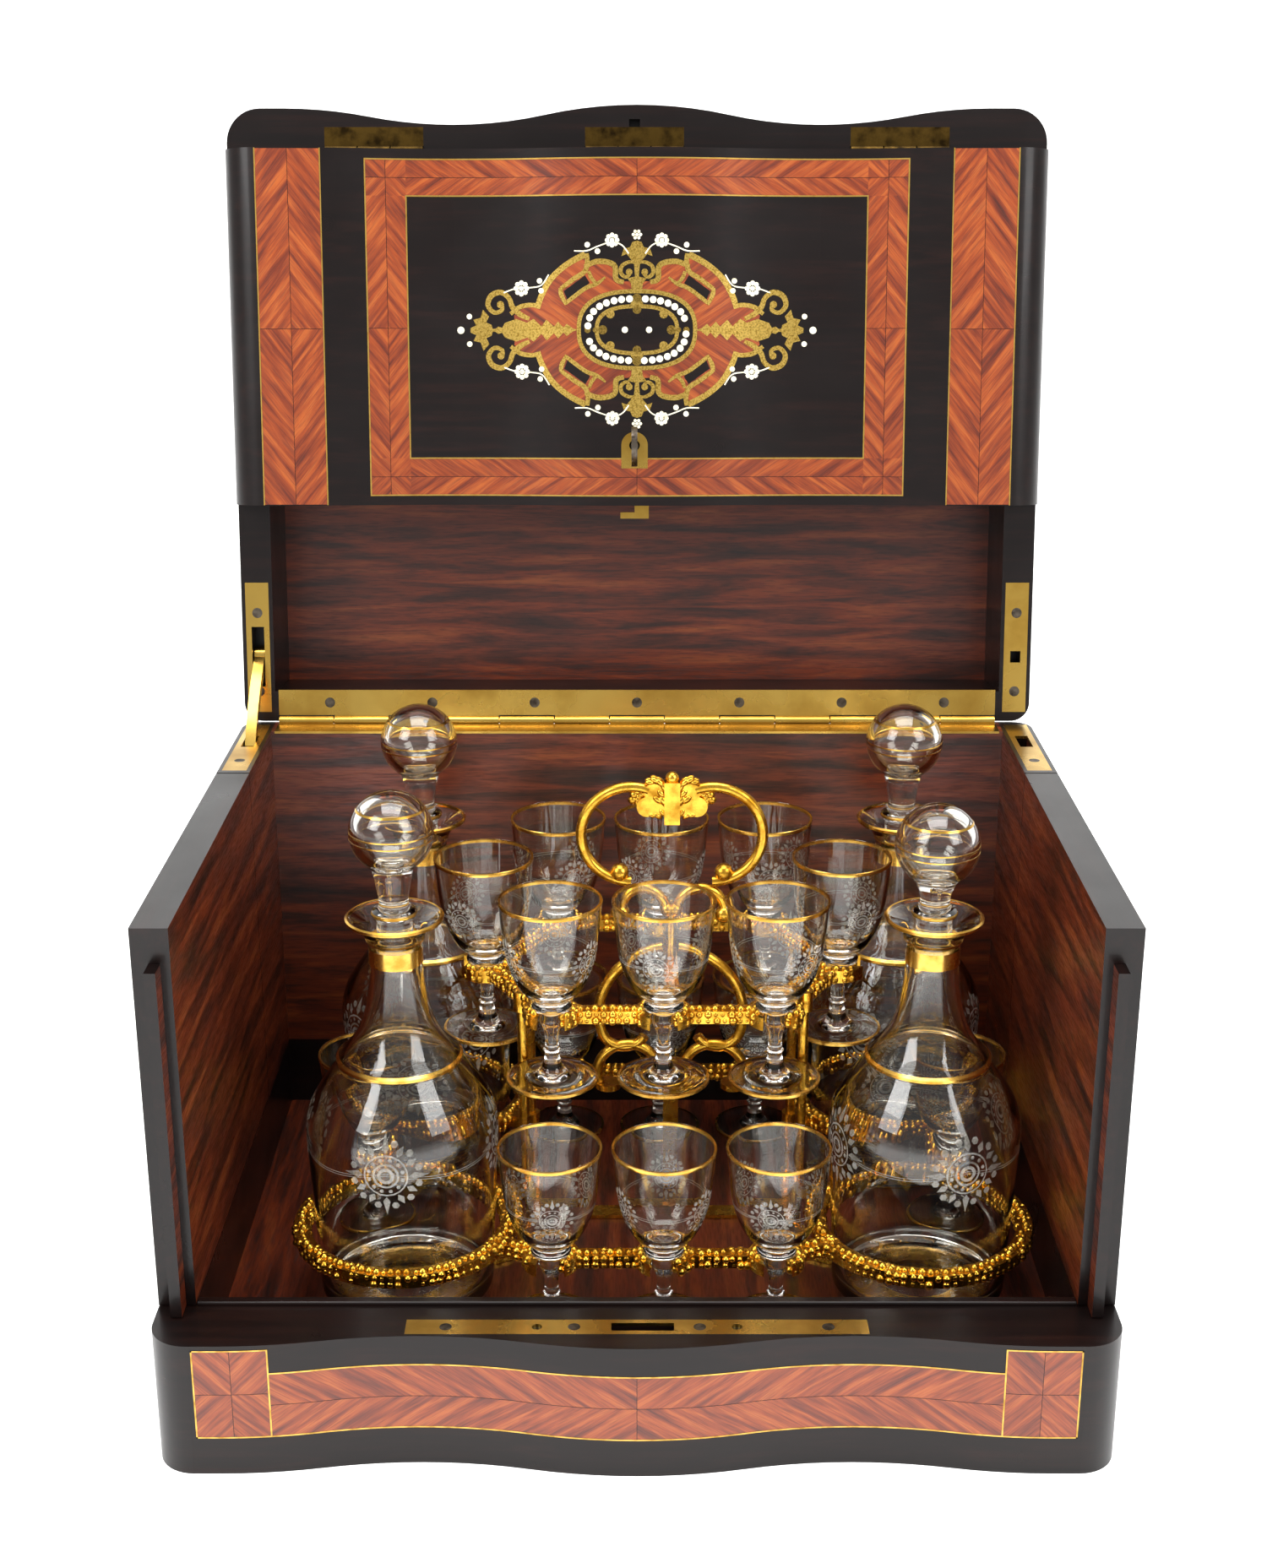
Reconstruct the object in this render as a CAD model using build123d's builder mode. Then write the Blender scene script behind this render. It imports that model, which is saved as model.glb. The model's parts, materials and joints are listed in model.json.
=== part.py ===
from build123d import *
from math import atan2, cos, degrees, hypot, radians, sin
import os

os.makedirs("parts", exist_ok=True)

# Overall box
box_width = 340.0
box_depth = 257.5
base_height = 52.0
rim_height = 198.0
lid_height = 52.0
lid_opening = 98.8
back_corner_radius = 8.0
front_corner_radius = 14.0
lid_edge_radius = 2.5

# Serpentine front, seen from above
dip_share = 0.22353
dip_depth = 8.0
side_crest_share = 0.42941
side_crest_depth = 1.5

# Walls and boards
side_wall = 13.3
back_wall = 13.0
ledge_depth = 30.75
floor_rise = 21.5
floor_board = 8.0
lid_recess = 43.0
lining_board = 3.0
body_gap = 0.4
cut_over = 1.0

# Lip bead along the front of the well
bead_width = 4.0
bead_rise = 1.6
bead_gap = 0.5

# Wings that fold outward
wing_setback = 26.75
corner_length = 69.25
wing_gap = 0.5
wing_joint_gap = 0.6
tongue_width = 4.0
tongue_reach = 8.0
tongue_inset = 3.5
tongue_drop = 13.0

# Wing butt hinges
wing_hinge_length = 30.0
wing_hinge_margin = 16.0
wing_leaf_width = 9.0
leaf_thickness = 1.0
knuckle_radius = 2.2
pin_radius = 1.0
pin_play = 0.3
knuckle_relief = 0.4

# Long lid hinge
lid_hinge_margin = 1.5
lid_leaf_width = 11.0
lid_leaf_start = 2.6
lid_knuckles = 13
knuckle_gap = 0.5

# Screws, flush in their plates
screw_head_radius = 2.2
screw_shank_radius = 1.1
screw_depth = 8.0
hinge_screws = 7

# Folding front panel
panel_setback = 18.25
panel_gap = 0.5
panel_fold = 90.0
panel_hinge_offset = 109.0
panel_hinge_length = 41.0
panel_leaf_width = 7.5
panel_knuckle_radius = 1.8
panel_pin_radius = 0.8

# Lock in the panel
lock_offset = -1.0
keyhole_rise = 25.0
keyhole_radius = 2.2
keyhole_slit = 1.8
keyhole_drop = 6.5
lock_width = 36.0
lock_height = 38.0
lock_depth = 8.0
lock_sheet = 1.2
lock_plate_width = 54.0
lock_play = 0.4
escutcheon_width = 11.0
escutcheon_height = 15.0
escutcheon_inlay = 0.8
escutcheon_proud = 0.2

# Hook bolt and key
hook_thickness = 3.0
hook_leg_width = 6.0
hook_toe_width = 12.0
hook_toe_height = 2.6
hook_reach = 6.0
hook_plate_height = 10.0
hook_travel = 6.0
key_shank_radius = 1.5
key_stand_off = 15.0
key_bow_radius = 8.0
key_bow_wire = 2.4
key_bit_width = 2.4
key_bit_drop = 4.2
key_bit_length = 3.0

# Strike plate on the front ledge
strike_length = 162.0
strike_depth = 9.0
plate_thickness = 1.2
strike_slot_length = 22.0
strike_slot_width = 4.8
strike_slot_shift = 3.0
strike_pocket_side = 8.0
strike_pocket_depth = 9.0
strike_hole_radius = 1.8
strike_hole_offset = 35.0
strike_screw_outer = 67.0
strike_screw_inner = 22.0

# Brass plates at the lid stay, and the stay itself
stay_plate_width = 10.0
lid_plate_start = 4.0
lid_plate_end = 60.0
lid_plate_screw_far = 47.0
lid_plate_screw_near = 13.0
body_plate_start = 4.0
body_plate_end = 66.0
body_plate_screw = 53.0
stay_hole_length = 5.0
stay_hole_width = 4.4
stay_from_hinge = 28.0
stay_inset = 6.0
stay_length = 48.0
stay_bow = 3.0
stay_width = 4.4
stay_thickness = 4.0
stay_angle = 219.6
stay_eye_radius = 3.6
stay_pin_radius = 1.4
stay_play = 0.5
stay_slot_start = 20.0
stay_slot_end = 35.0
stay_pocket_end = 41.0
stay_pocket_depth = 46.0
stay_rail_pocket = 13.0
stay_pin_length = 9.0

# Small mortise in the lid's front rail
catch_hole_side = 4.5
catch_hole_setback = 8.0

# Rack, measured from its own centre
rack_x = 10.0
rack_y = 14.5
decanter_offset_x = 98.5
decanter_offset_y = 53.0
ring_outer = 42.5
ring_inner = 36.7
band_height = 5.0
band_width = 6.0
lower_band_rise = 24.2
upper_band_rise = 108.0
notch_outer = 10.5
notch_inner = 6.0
notch_mouth = 10.4
glass_spread = 42.0
lower_front_offset = 78.5
lower_back_offset = 76.0
lower_side_offset = 118.0
upper_row_offset = 44.5
upper_side_offset = 69.4

# Rack frame
rack_foot_gap = 0.3
rack_foot = 1.5
coaster_radius = 30.0
coaster_hole = 14.0
foot_bar = 8.0
post_x = 54.0
post_y = 28.0
post_radius = 2.0
post_collar_radius = 3.4
post_collar_height = 3.0
post_play = 0.1

# Vertical scrollwork, from the rack's own underside
wire_radius = 2.1
frame_shift = 3.5
scroll_ring_rise = 90.0
scroll_ring_radius = 28.6
scroll_ring_gap = 7.0
scroll_ring_angle = 195.0
scroll_curl_radius = 9.3
scroll_curl_angle = 330.0
scroll_arch_drop = 25.5
scroll_arch_radius = 12.3
scroll_arch_offset = 17.0
scroll_arch_angle = 200.0
scroll_ball = 4.4
rosette_radius = 5.0
rosette_offset = 25.0
rosette_thickness = 2.4
stem_width = 6.0
stem_ball = 3.8

# Bow handle, from the rack's own underside
bow_rise = 166.0
bow_radius = 19.4
bow_offset = 15.7
bow_start_angle = 70.0
bow_end_angle = 270.0
handle_ball = 3.6
handle_ball_offset = 20.2
handle_ball_drop = 15.6
arch_drop = 31.3
arch_radius = 9.0
arch_offset = 11.5
arch_angle = 190.0
clasp_ball = 3.0
handle_stem_radius = 2.4
crest_width = 6.0
crest_depth = 5.4
crest_height = 17.0
crest_drop = 4.8
crest_knob = 2.6
volute_radius = 4.0
volute_offset = 9.6
volute_rise = 11.8
leaf_radius = 3.6
leaf_offset = 7.2
leaf_rise = 17.6
leaf_depth = 3.4

# Cordial glass, heights from its foot
glass_height = 73.0
glass_foot_radius = 17.3
glass_foot_edge = 1.2
glass_foot_cone = 4.2
glass_stem_radius = 3.2
glass_knop_radius = 4.9
glass_knop_height = 14.0
glass_collar_height = 29.4
glass_collar_radius = 7.6
glass_collar_thickness = 2.2
glass_bowl_root = 5.6
glass_belly_height = 50.0
glass_belly_radius = 16.6
glass_rim_radius = 19.35
glass_wall = 1.2
glass_bottom = 3.2
seat_gap = 0.3

# Decanter, heights from its own underside
decanter_foot_radius = 32.5
decanter_foot_round = 2.5
decanter_shoulder_radius = 36.0
decanter_shoulder_height = 67.5
decanter_ring_radius = 22.0
decanter_ring_height = 96.0
decanter_neck_radius = 9.5
decanter_neck_height = 133.5
decanter_lip_radius = 18.0
decanter_lip_height = 152.5
decanter_lip_thickness = 2.0
decanter_wall = 2.0
decanter_bottom = 3.0
decanter_bore = 7.5

# Stopper, heights from the decanter's lip
stopper_plug_radius = 6.9
stopper_plug_taper = 0.7
stopper_plug_length = 16.0
stopper_collar_radius = 8.4
stopper_collar_height = 2.2
stopper_neck_radius = 5.5
stopper_neck_height = 8.0
stopper_ball_radius = 15.4
stopper_ball_height = 32.0
stopper_deep_seat = 5.0

# Places worked out from the sizes above
half_width = box_width / 2
half_depth = box_depth / 2
dip_offset = dip_share * box_width
side_crest_offset = side_crest_share * box_width
front_y = -half_depth
hinge_y = half_depth
well_half = half_width - side_wall
well_front = front_y + ledge_depth
well_back = half_depth - back_wall
well_depth = well_back - well_front
well_middle = (well_back + well_front) / 2
wall_middle = half_width - side_wall / 2
wall_top = rim_height - body_gap
wing_front = front_y + wing_setback
wing_joint_y = half_depth - corner_length
panel_pivot_y = front_y + panel_setback
panel_back_y = panel_pivot_y - panel_gap
panel_foot_z = base_height + panel_gap
panel_top_z = rim_height - panel_gap
lid_front_rail = wing_front
keyhole_z = panel_foot_z + keyhole_rise
hook_y = panel_back_y - lock_depth / 2
hook_x = lock_offset
hook_slot_x = lock_offset - hook_travel / 2
hook_slot_length = hook_toe_width + hook_travel + 2 * lock_play
rack_base = floor_rise + rack_foot_gap
frame_x = rack_x + frame_shift
lower_band = rack_base + lower_band_rise
upper_band = rack_base + upper_band_rise
lower_foot = lower_band + band_height + seat_gap - glass_collar_height
upper_foot = upper_band + band_height + seat_gap - glass_collar_height
decanter_foot = rack_base + rack_foot + seat_gap


def swing(plane, pivot_y, pivot_z, angle):
    """A plane after a turn about a line along X through the pivot."""
    pivot = Location((0, pivot_y, pivot_z))
    turn = pivot * Location((0, 0, 0), (angle, 0, 0)) * pivot.inverse()
    return Plane(turn * plane.location)


def on_lid(plane):
    """A plane of the closed lid, carried to the open lid."""
    return swing(plane, hinge_y, rim_height, -lid_opening)


def on_panel(plane):
    """A plane of the closed front panel, carried to the folded one."""
    return on_lid(swing(plane, panel_pivot_y, rim_height, panel_fold))


def save(part, name):
    """Label a finished piece and write it."""
    part.label = name
    export_step(part, f"parts/{name}.step")


def bar(start, end, width):
    """A straight bar of the current sketch between two points."""
    run_x = end[0] - start[0]
    run_y = end[1] - start[1]
    middle = ((start[0] + end[0]) / 2, (start[1] + end[1]) / 2)
    with Locations(Location(middle, degrees(atan2(run_y, run_x)))):
        Rectangle(hypot(run_x, run_y), width)


# Outline shared by the base, the lid and the panel
with BuildSketch() as box_outline:
    with BuildLine():
        middle_swell = TangentArc(
            (0, front_y), (dip_offset / 2, front_y + dip_depth / 2), tangent=(1, 0)
        )
        middle_dip = TangentArc(
            middle_swell @ 1, (dip_offset, front_y + dip_depth), tangent=middle_swell % 1
        )
        side_turn = (
            (dip_offset + side_crest_offset) / 2,
            front_y + (dip_depth + side_crest_depth) / 2,
        )
        side_rise = TangentArc(middle_dip @ 1, side_turn, tangent=middle_dip % 1)
        side_crest = (side_crest_offset, front_y + side_crest_depth)
        side_swell = TangentArc(side_turn, side_crest, tangent=side_rise % 1)
        crest_end = (half_width - front_corner_radius, front_y + side_crest_depth)
        Line(side_crest, crest_end)
        corner_end = (half_width, front_y + side_crest_depth + front_corner_radius)
        TangentArc(crest_end, corner_end, tangent=(1, 0))
        side_end = (half_width, half_depth - back_corner_radius)
        Line(corner_end, side_end)
        back_end = (half_width - back_corner_radius, half_depth)
        TangentArc(side_end, back_end, tangent=(0, 1))
        Line(back_end, (0, half_depth))
        mirror(about=Plane.YZ)
    make_face()

# Base with its well, strike pocket and screw holes
ledge_plane = Plane.XY.offset(base_height)
strike_y = panel_back_y - lock_depth / 2
strike_screws = [(side * place, strike_y) for side in (-1, 1)
                 for place in (strike_screw_inner, strike_screw_outer)]
strike_slot_x = lock_offset + strike_slot_shift
with BuildPart() as base_box:
    with BuildSketch():
        add(box_outline.sketch)
    extrude(amount=base_height)
    with BuildSketch(Plane.XY.offset(floor_rise - floor_board)):
        with Locations((0, well_middle)):
            Rectangle(2 * well_half, well_depth)
    extrude(amount=base_height, mode=Mode.SUBTRACT)
    with BuildSketch(ledge_plane):
        with Locations((0, strike_y)):
            Rectangle(strike_length, strike_depth)
    extrude(amount=-plate_thickness, mode=Mode.SUBTRACT)
    with BuildSketch(ledge_plane.offset(-plate_thickness)):
        with Locations((strike_slot_x - strike_pocket_side / 2, strike_y)):
            Rectangle(strike_slot_length + strike_pocket_side, strike_slot_width)
    extrude(amount=-strike_pocket_depth, mode=Mode.SUBTRACT)
    with Locations(ledge_plane):
        with Locations(*strike_screws):
            Hole(screw_shank_radius, depth=screw_depth)
save(base_box.part, "base_box")

# Floor board that closes the well
with BuildPart() as base_floor:
    with BuildSketch(Plane.XY.offset(floor_rise - floor_board)):
        with Locations((0, well_middle)):
            Rectangle(2 * well_half, well_depth)
    extrude(amount=floor_board)
save(base_floor.part, "base_floor")

# Rounded bead along the front edge of the well
with BuildPart() as front_bead:
    with BuildSketch(ledge_plane):
        with Locations((0, well_front - bead_width / 2)):
            Rectangle(2 * (well_half - bead_gap), bead_width)
    extrude(amount=bead_rise)
    fillet(front_bead.edges().filter_by(Axis.X).group_by(Axis.Z)[-1], bead_rise / 2)
save(front_bead.part, "front_bead")

# Strike plate let into the ledge
with BuildPart() as strike_plate:
    with BuildSketch(ledge_plane.offset(-plate_thickness)):
        with Locations((0, strike_y)):
            Rectangle(strike_length, strike_depth)
        with Locations((strike_slot_x, strike_y)):
            Rectangle(strike_slot_length, strike_slot_width, mode=Mode.SUBTRACT)
        with Locations((-strike_hole_offset, strike_y), (strike_hole_offset, strike_y)):
            Circle(strike_hole_radius, mode=Mode.SUBTRACT)
        with Locations(*strike_screws):
            Circle(screw_head_radius, mode=Mode.SUBTRACT)
    extrude(amount=plate_thickness)
save(strike_plate.part, "strike_plate")


def screw(plane, places):
    """Flush screws, sunk from a plane at each of its places."""
    with BuildPart() as screws:
        with BuildSketch(plane):
            with Locations(*places):
                Circle(screw_head_radius)
        extrude(amount=-plate_thickness)
        with BuildSketch(plane.offset(-plate_thickness)):
            with Locations(*places):
                Circle(screw_shank_radius)
        extrude(amount=-(screw_depth - plate_thickness))
    return screws.part



# Back board, with the rebate for the long hinge
hinge_length = 2 * (well_half - lid_hinge_margin)
top_plane = Plane.XY.offset(wall_top)
leaf_middle = hinge_y - lid_leaf_start - lid_leaf_width / 2
rebate_width = lid_leaf_start + lid_leaf_width
with BuildPart() as back_board:
    with BuildSketch(Plane.XY.offset(base_height)):
        with Locations((0, half_depth - back_wall / 2)):
            Rectangle(2 * well_half, back_wall)
    extrude(amount=wall_top - base_height)
    with BuildSketch(top_plane):
        with Locations((0, hinge_y - rebate_width / 2)):
            Rectangle(hinge_length, rebate_width)
    extrude(amount=-leaf_thickness, mode=Mode.SUBTRACT)
    with BuildSketch(Plane.YZ.offset(-hinge_length / 2)):
        with Locations((hinge_y, rim_height)):
            Circle(knuckle_radius + knuckle_relief)
    extrude(amount=hinge_length, mode=Mode.SUBTRACT)
save(back_board.part, "back_board")

# Corner blocks and the wings hinged to them
plate_x = half_width - side_wall / 2
body_plate_middle = hinge_y - (body_plate_start + body_plate_end) / 2
body_plate_length = body_plate_end - body_plate_start
stay_slot_middle = hinge_y - (stay_slot_start + stay_slot_end) / 2
stay_slot_length = stay_slot_end - stay_slot_start
stay_pocket_middle = hinge_y - (stay_slot_start + stay_pocket_end) / 2
wing_hinge_places = (
    base_height + wing_hinge_margin,
    wall_top - wing_hinge_margin - wing_hinge_length,
)
wing_leaf_x = half_width - knuckle_radius - wing_leaf_width / 2
block_end = wing_joint_y + wing_joint_gap / 2
wing_end = wing_joint_y - wing_joint_gap / 2


def knuckle_room(side):
    """Sketch of the room that a wing hinge takes at the outer corner."""
    with BuildSketch() as room:
        with Locations((side * half_width, wing_joint_y)):
            Circle(knuckle_radius + knuckle_relief)
        with Locations((side * wing_leaf_x, wing_joint_y)):
            Rectangle(wing_leaf_width, 2 * leaf_thickness + wing_joint_gap)
        with Locations((side * (half_width - knuckle_radius), wing_joint_y)):
            Rectangle(2 * knuckle_radius, wing_joint_gap + 2 * leaf_thickness)
    return room.sketch


for side, name in ((-1, "corner_block_left"), (1, "corner_block_right")):
    with BuildPart() as corner_block:
        with BuildSketch(Plane.XY.offset(base_height)):
            add(box_outline.sketch)
            with Locations((side * wall_middle, (block_end + half_depth) / 2)):
                Rectangle(side_wall, half_depth - block_end, mode=Mode.INTERSECT)
        extrude(amount=wall_top - base_height)
        with BuildSketch(top_plane):
            with Locations((side * plate_x, body_plate_middle)):
                Rectangle(stay_plate_width, body_plate_length)
        extrude(amount=-plate_thickness, mode=Mode.SUBTRACT)
        with BuildSketch(top_plane.offset(-plate_thickness)):
            with Locations((side * plate_x, stay_pocket_middle)):
                Rectangle(stay_width + 2 * stay_play, stay_pocket_end - stay_slot_start)
        extrude(amount=-stay_pocket_depth, mode=Mode.SUBTRACT)
        with Locations(top_plane):
            with Locations((side * plate_x, hinge_y - body_plate_screw)):
                Hole(screw_shank_radius, depth=screw_depth)
        for place in wing_hinge_places:
            with BuildSketch(Plane.XY.offset(place)):
                add(knuckle_room(side))
            extrude(amount=wing_hinge_length, mode=Mode.SUBTRACT)
    save(corner_block.part, name)

for side, name in ((-1, "wing_left"), (1, "wing_right")):
    with BuildPart() as wing:
        with BuildSketch(Plane.XY.offset(base_height + wing_gap)):
            with Locations((side * wall_middle, (wing_front + wing_end) / 2)):
                Rectangle(side_wall, wing_end - wing_front)
        extrude(amount=rim_height - base_height - 2 * wing_gap)
        with BuildSketch(Plane.XY.offset(base_height + wing_gap)):
            tongue_x = well_half + tongue_inset + tongue_width / 2
            with Locations((side * tongue_x, wing_front - tongue_reach / 2)):
                Rectangle(tongue_width, tongue_reach)
        extrude(amount=rim_height - base_height - 2 * wing_gap - tongue_drop)
        for place in wing_hinge_places:
            with BuildSketch(Plane.XY.offset(place)):
                add(knuckle_room(side))
            extrude(amount=wing_hinge_length, mode=Mode.SUBTRACT)
    save(wing.part, name)


def wing_hinge(side, toward, knuckles, pinned):
    """Leaves of the wing hinges on one side of the joint line."""
    third = wing_hinge_length / 3
    with BuildPart() as hinge:
        for place in wing_hinge_places:
            with BuildSketch(Plane.XY.offset(place)):
                leaf_y = wing_joint_y + toward * (wing_joint_gap + leaf_thickness) / 2
                with Locations((side * wing_leaf_x, leaf_y)):
                    Rectangle(wing_leaf_width, leaf_thickness)
            extrude(amount=wing_hinge_length)
            for index in knuckles:
                with BuildSketch(Plane.XY.offset(place + index * third + knuckle_gap / 2)):
                    with Locations((side * half_width, wing_joint_y)):
                        Circle(knuckle_radius)
                    web_x = side * (half_width - knuckle_radius / 2)
                    with Locations((web_x, leaf_y)):
                        Rectangle(knuckle_radius * 2, leaf_thickness)
                extrude(amount=third - knuckle_gap)
            bore = pin_radius + (0 if pinned else pin_play)
            with BuildSketch(Plane.XY.offset(place)):
                with Locations((side * half_width, wing_joint_y)):
                    Circle(bore)
            extrude(amount=wing_hinge_length, mode=Mode.ADD if pinned else Mode.SUBTRACT)
    return hinge.part


for side, word in ((-1, "left"), (1, "right")):
    save(wing_hinge(side, 1, (0, 2), True), f"wing_hinge_{word}")
    save(wing_hinge(side, -1, (1,), False), f"wing_leaf_{word}")

# Plates on top of the corner blocks
with BuildPart() as body_plates:
    with BuildSketch(top_plane.offset(-plate_thickness)):
        for side in (-1, 1):
            with Locations((side * plate_x, body_plate_middle)):
                Rectangle(stay_plate_width, body_plate_length)
            with Locations((side * plate_x, stay_slot_middle)):
                Rectangle(stay_width + 2 * stay_play, stay_slot_length, mode=Mode.SUBTRACT)
            with Locations((side * plate_x, hinge_y - body_plate_screw)):
                Circle(screw_head_radius, mode=Mode.SUBTRACT)
    extrude(amount=plate_thickness)
save(body_plates.part, "body_plates")
body_screw_places = [(side * plate_x, hinge_y - body_plate_screw) for side in (-1, 1)]
with BuildPart() as body_screws:
    add(screw(ledge_plane, strike_screws))
    add(screw(top_plane, body_screw_places))
save(body_screws.part, "body_screws")

# Lid, modelled on the open lid's rim
lid_rim = on_lid(Plane.XY.offset(rim_height))
lid_plate_middle = hinge_y - (lid_plate_start + lid_plate_end) / 2
lid_plate_length = lid_plate_end - lid_plate_start
hinge_screw_step = hinge_length / hinge_screws
lid_screw_places = [
    ((index - (hinge_screws - 1) / 2) * hinge_screw_step, leaf_middle)
    for index in range(hinge_screws)
]
plate_screw_places = [
    (side * plate_x, hinge_y - place)
    for side in (-1, 1)
    for place in (lid_plate_screw_near, lid_plate_screw_far)
]
panel_hinge_places = (-panel_hinge_offset, lock_offset, panel_hinge_offset)
panel_leaf_middle = panel_pivot_y - panel_knuckle_radius - panel_leaf_width / 2
panel_rebate_width = panel_knuckle_radius + panel_leaf_width
panel_rebates = [(place, panel_pivot_y - panel_rebate_width / 2) for place in panel_hinge_places]
lid_recess_depth = well_back - lid_front_rail
with BuildPart() as lid_box:
    with BuildSketch(lid_rim):
        add(box_outline.sketch)
    extrude(amount=lid_height)
    with BuildSketch(lid_rim):
        with Locations((0, (well_back + lid_front_rail) / 2)):
            Rectangle(2 * well_half, lid_recess_depth)
    extrude(amount=lid_recess, mode=Mode.SUBTRACT)
    with BuildSketch(lid_rim):
        with Locations((0, hinge_y - rebate_width / 2)):
            Rectangle(hinge_length, rebate_width)
        with Locations(*panel_rebates):
            Rectangle(panel_hinge_length, panel_rebate_width)
    extrude(amount=leaf_thickness, mode=Mode.SUBTRACT)
    with BuildSketch(lid_rim):
        with Locations((-plate_x, lid_plate_middle), (plate_x, lid_plate_middle)):
            Rectangle(stay_plate_width, lid_plate_length)
    extrude(amount=plate_thickness, mode=Mode.SUBTRACT)
    with BuildSketch(lid_rim):
        with Locations((-plate_x, hinge_y - stay_from_hinge)):
            Rectangle(stay_width + 2 * stay_play, 2 * stay_rail_pocket)
        with Locations((plate_x, hinge_y - stay_from_hinge)):
            Rectangle(stay_hole_width, stay_hole_length)
    extrude(amount=stay_inset + stay_eye_radius + stay_play, mode=Mode.SUBTRACT)
    with BuildSketch(on_lid(Plane.YZ.offset(-hinge_length / 2))):
        with Locations((hinge_y, rim_height)):
            Circle(knuckle_radius + knuckle_relief)
    extrude(amount=hinge_length, mode=Mode.SUBTRACT)
    for place in panel_hinge_places:
        with BuildSketch(on_lid(Plane.YZ.offset(place - panel_hinge_length / 2))):
            with Locations((panel_pivot_y, rim_height)):
                Circle(panel_knuckle_radius + knuckle_relief)
        extrude(amount=panel_hinge_length, mode=Mode.SUBTRACT)
    with BuildSketch(on_lid(Plane.YZ.offset(-plate_x - stay_pin_length / 2))):
        with Locations((hinge_y - stay_from_hinge, rim_height + stay_inset)):
            Circle(stay_pin_radius)
    extrude(amount=stay_pin_length, mode=Mode.SUBTRACT)
    with BuildSketch(lid_rim):
        with Locations((lock_offset, front_y + catch_hole_setback)):
            Rectangle(catch_hole_side, catch_hole_side)
        with Locations(*lid_screw_places, *plate_screw_places):
            Circle(screw_shank_radius)
    extrude(amount=screw_depth, mode=Mode.SUBTRACT)
    top_edges = lid_box.faces().sort_by(Axis(lid_rim.origin, lid_rim.z_dir))[-1].edges()
    fillet(top_edges, lid_edge_radius)
save(lid_box.part, "lid_box")

# Rosewood board that lines the lid
with BuildPart() as lid_lining:
    with BuildSketch(lid_rim.offset(lid_recess - lining_board)):
        with Locations((0, (well_back + lid_front_rail) / 2)):
            Rectangle(2 * well_half, lid_recess_depth)
    extrude(amount=lining_board)
save(lid_lining.part, "lid_lining")

# Brass plates in the lid's side rails
with BuildPart() as lid_plates:
    with BuildSketch(lid_rim):
        with Locations((-plate_x, lid_plate_middle), (plate_x, lid_plate_middle)):
            Rectangle(stay_plate_width, lid_plate_length)
        with Locations((-plate_x, hinge_y - stay_from_hinge)):
            Rectangle(stay_width + 2 * stay_play, 2 * stay_rail_pocket, mode=Mode.SUBTRACT)
        with Locations((plate_x, hinge_y - stay_from_hinge)):
            Rectangle(stay_hole_width, stay_hole_length, mode=Mode.SUBTRACT)
        with Locations(*plate_screw_places):
            Circle(screw_head_radius, mode=Mode.SUBTRACT)
    extrude(amount=plate_thickness)
save(lid_plates.part, "lid_plates")

with BuildPart() as lid_screws:
    with BuildSketch(lid_rim):
        with Locations(*lid_screw_places, *plate_screw_places):
            Circle(screw_head_radius)
    extrude(amount=leaf_thickness)
    with BuildSketch(lid_rim.offset(leaf_thickness)):
        with Locations(*lid_screw_places, *plate_screw_places):
            Circle(screw_shank_radius)
    extrude(amount=screw_depth - leaf_thickness)
save(lid_screws.part, "lid_screws")


def long_hinge(leaf_plane, thickness, first, pinned, turned):
    """One half of the long hinge: a leaf with every second knuckle."""
    pitch = hinge_length / lid_knuckles
    with BuildPart() as hinge:
        with BuildSketch(leaf_plane):
            with Locations((0, leaf_middle)):
                Rectangle(hinge_length, lid_leaf_width)
            if not pinned:
                with Locations(*lid_screw_places):
                    Circle(screw_head_radius, mode=Mode.SUBTRACT)
        extrude(amount=thickness)
        for index in range(first, lid_knuckles, 2):
            start = -hinge_length / 2 + index * pitch + knuckle_gap / 2
            side_plane = turned(Plane.YZ.offset(start))
            with BuildSketch(side_plane):
                with Locations((hinge_y, rim_height)):
                    Circle(knuckle_radius)
            extrude(amount=pitch - knuckle_gap)
            with BuildSketch(leaf_plane):
                with Locations((start + (pitch - knuckle_gap) / 2, hinge_y - lid_leaf_start / 2)):
                    Rectangle(pitch - knuckle_gap, lid_leaf_start)
            extrude(amount=thickness)
        with BuildSketch(turned(Plane.YZ.offset(-hinge_length / 2))):
            with Locations((hinge_y, rim_height)):
                Circle(pin_radius + (0 if pinned else pin_play))
        extrude(amount=hinge_length, mode=Mode.ADD if pinned else Mode.SUBTRACT)
    return hinge.part


def unturned(plane):
    """A plane of the body stays where it is."""
    return plane


save(long_hinge(top_plane, -leaf_thickness, 0, True, unturned), "lid_hinge_fixed")
save(long_hinge(lid_rim, leaf_thickness, 1, False, on_lid), "lid_hinge_leaf")

# Front panel, folded flat against the open lid
panel_sole = on_panel(Plane.XY.offset(panel_foot_z))
panel_head = on_panel(Plane.XY.offset(panel_top_z))
panel_height = panel_top_z - panel_foot_z
panel_face = on_panel(Plane.XZ.offset(-front_y))
lock_front_y = panel_back_y - lock_depth
panel_depth = panel_back_y - front_y


def keyhole():
    """Round hole with a slit below it, drawn on a front view."""
    with BuildSketch() as hole:
        with Locations((lock_offset, keyhole_z)):
            Circle(keyhole_radius)
        with Locations((lock_offset, keyhole_z - keyhole_drop / 2)):
            Rectangle(keyhole_slit, keyhole_drop)
    return hole.sketch


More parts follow.
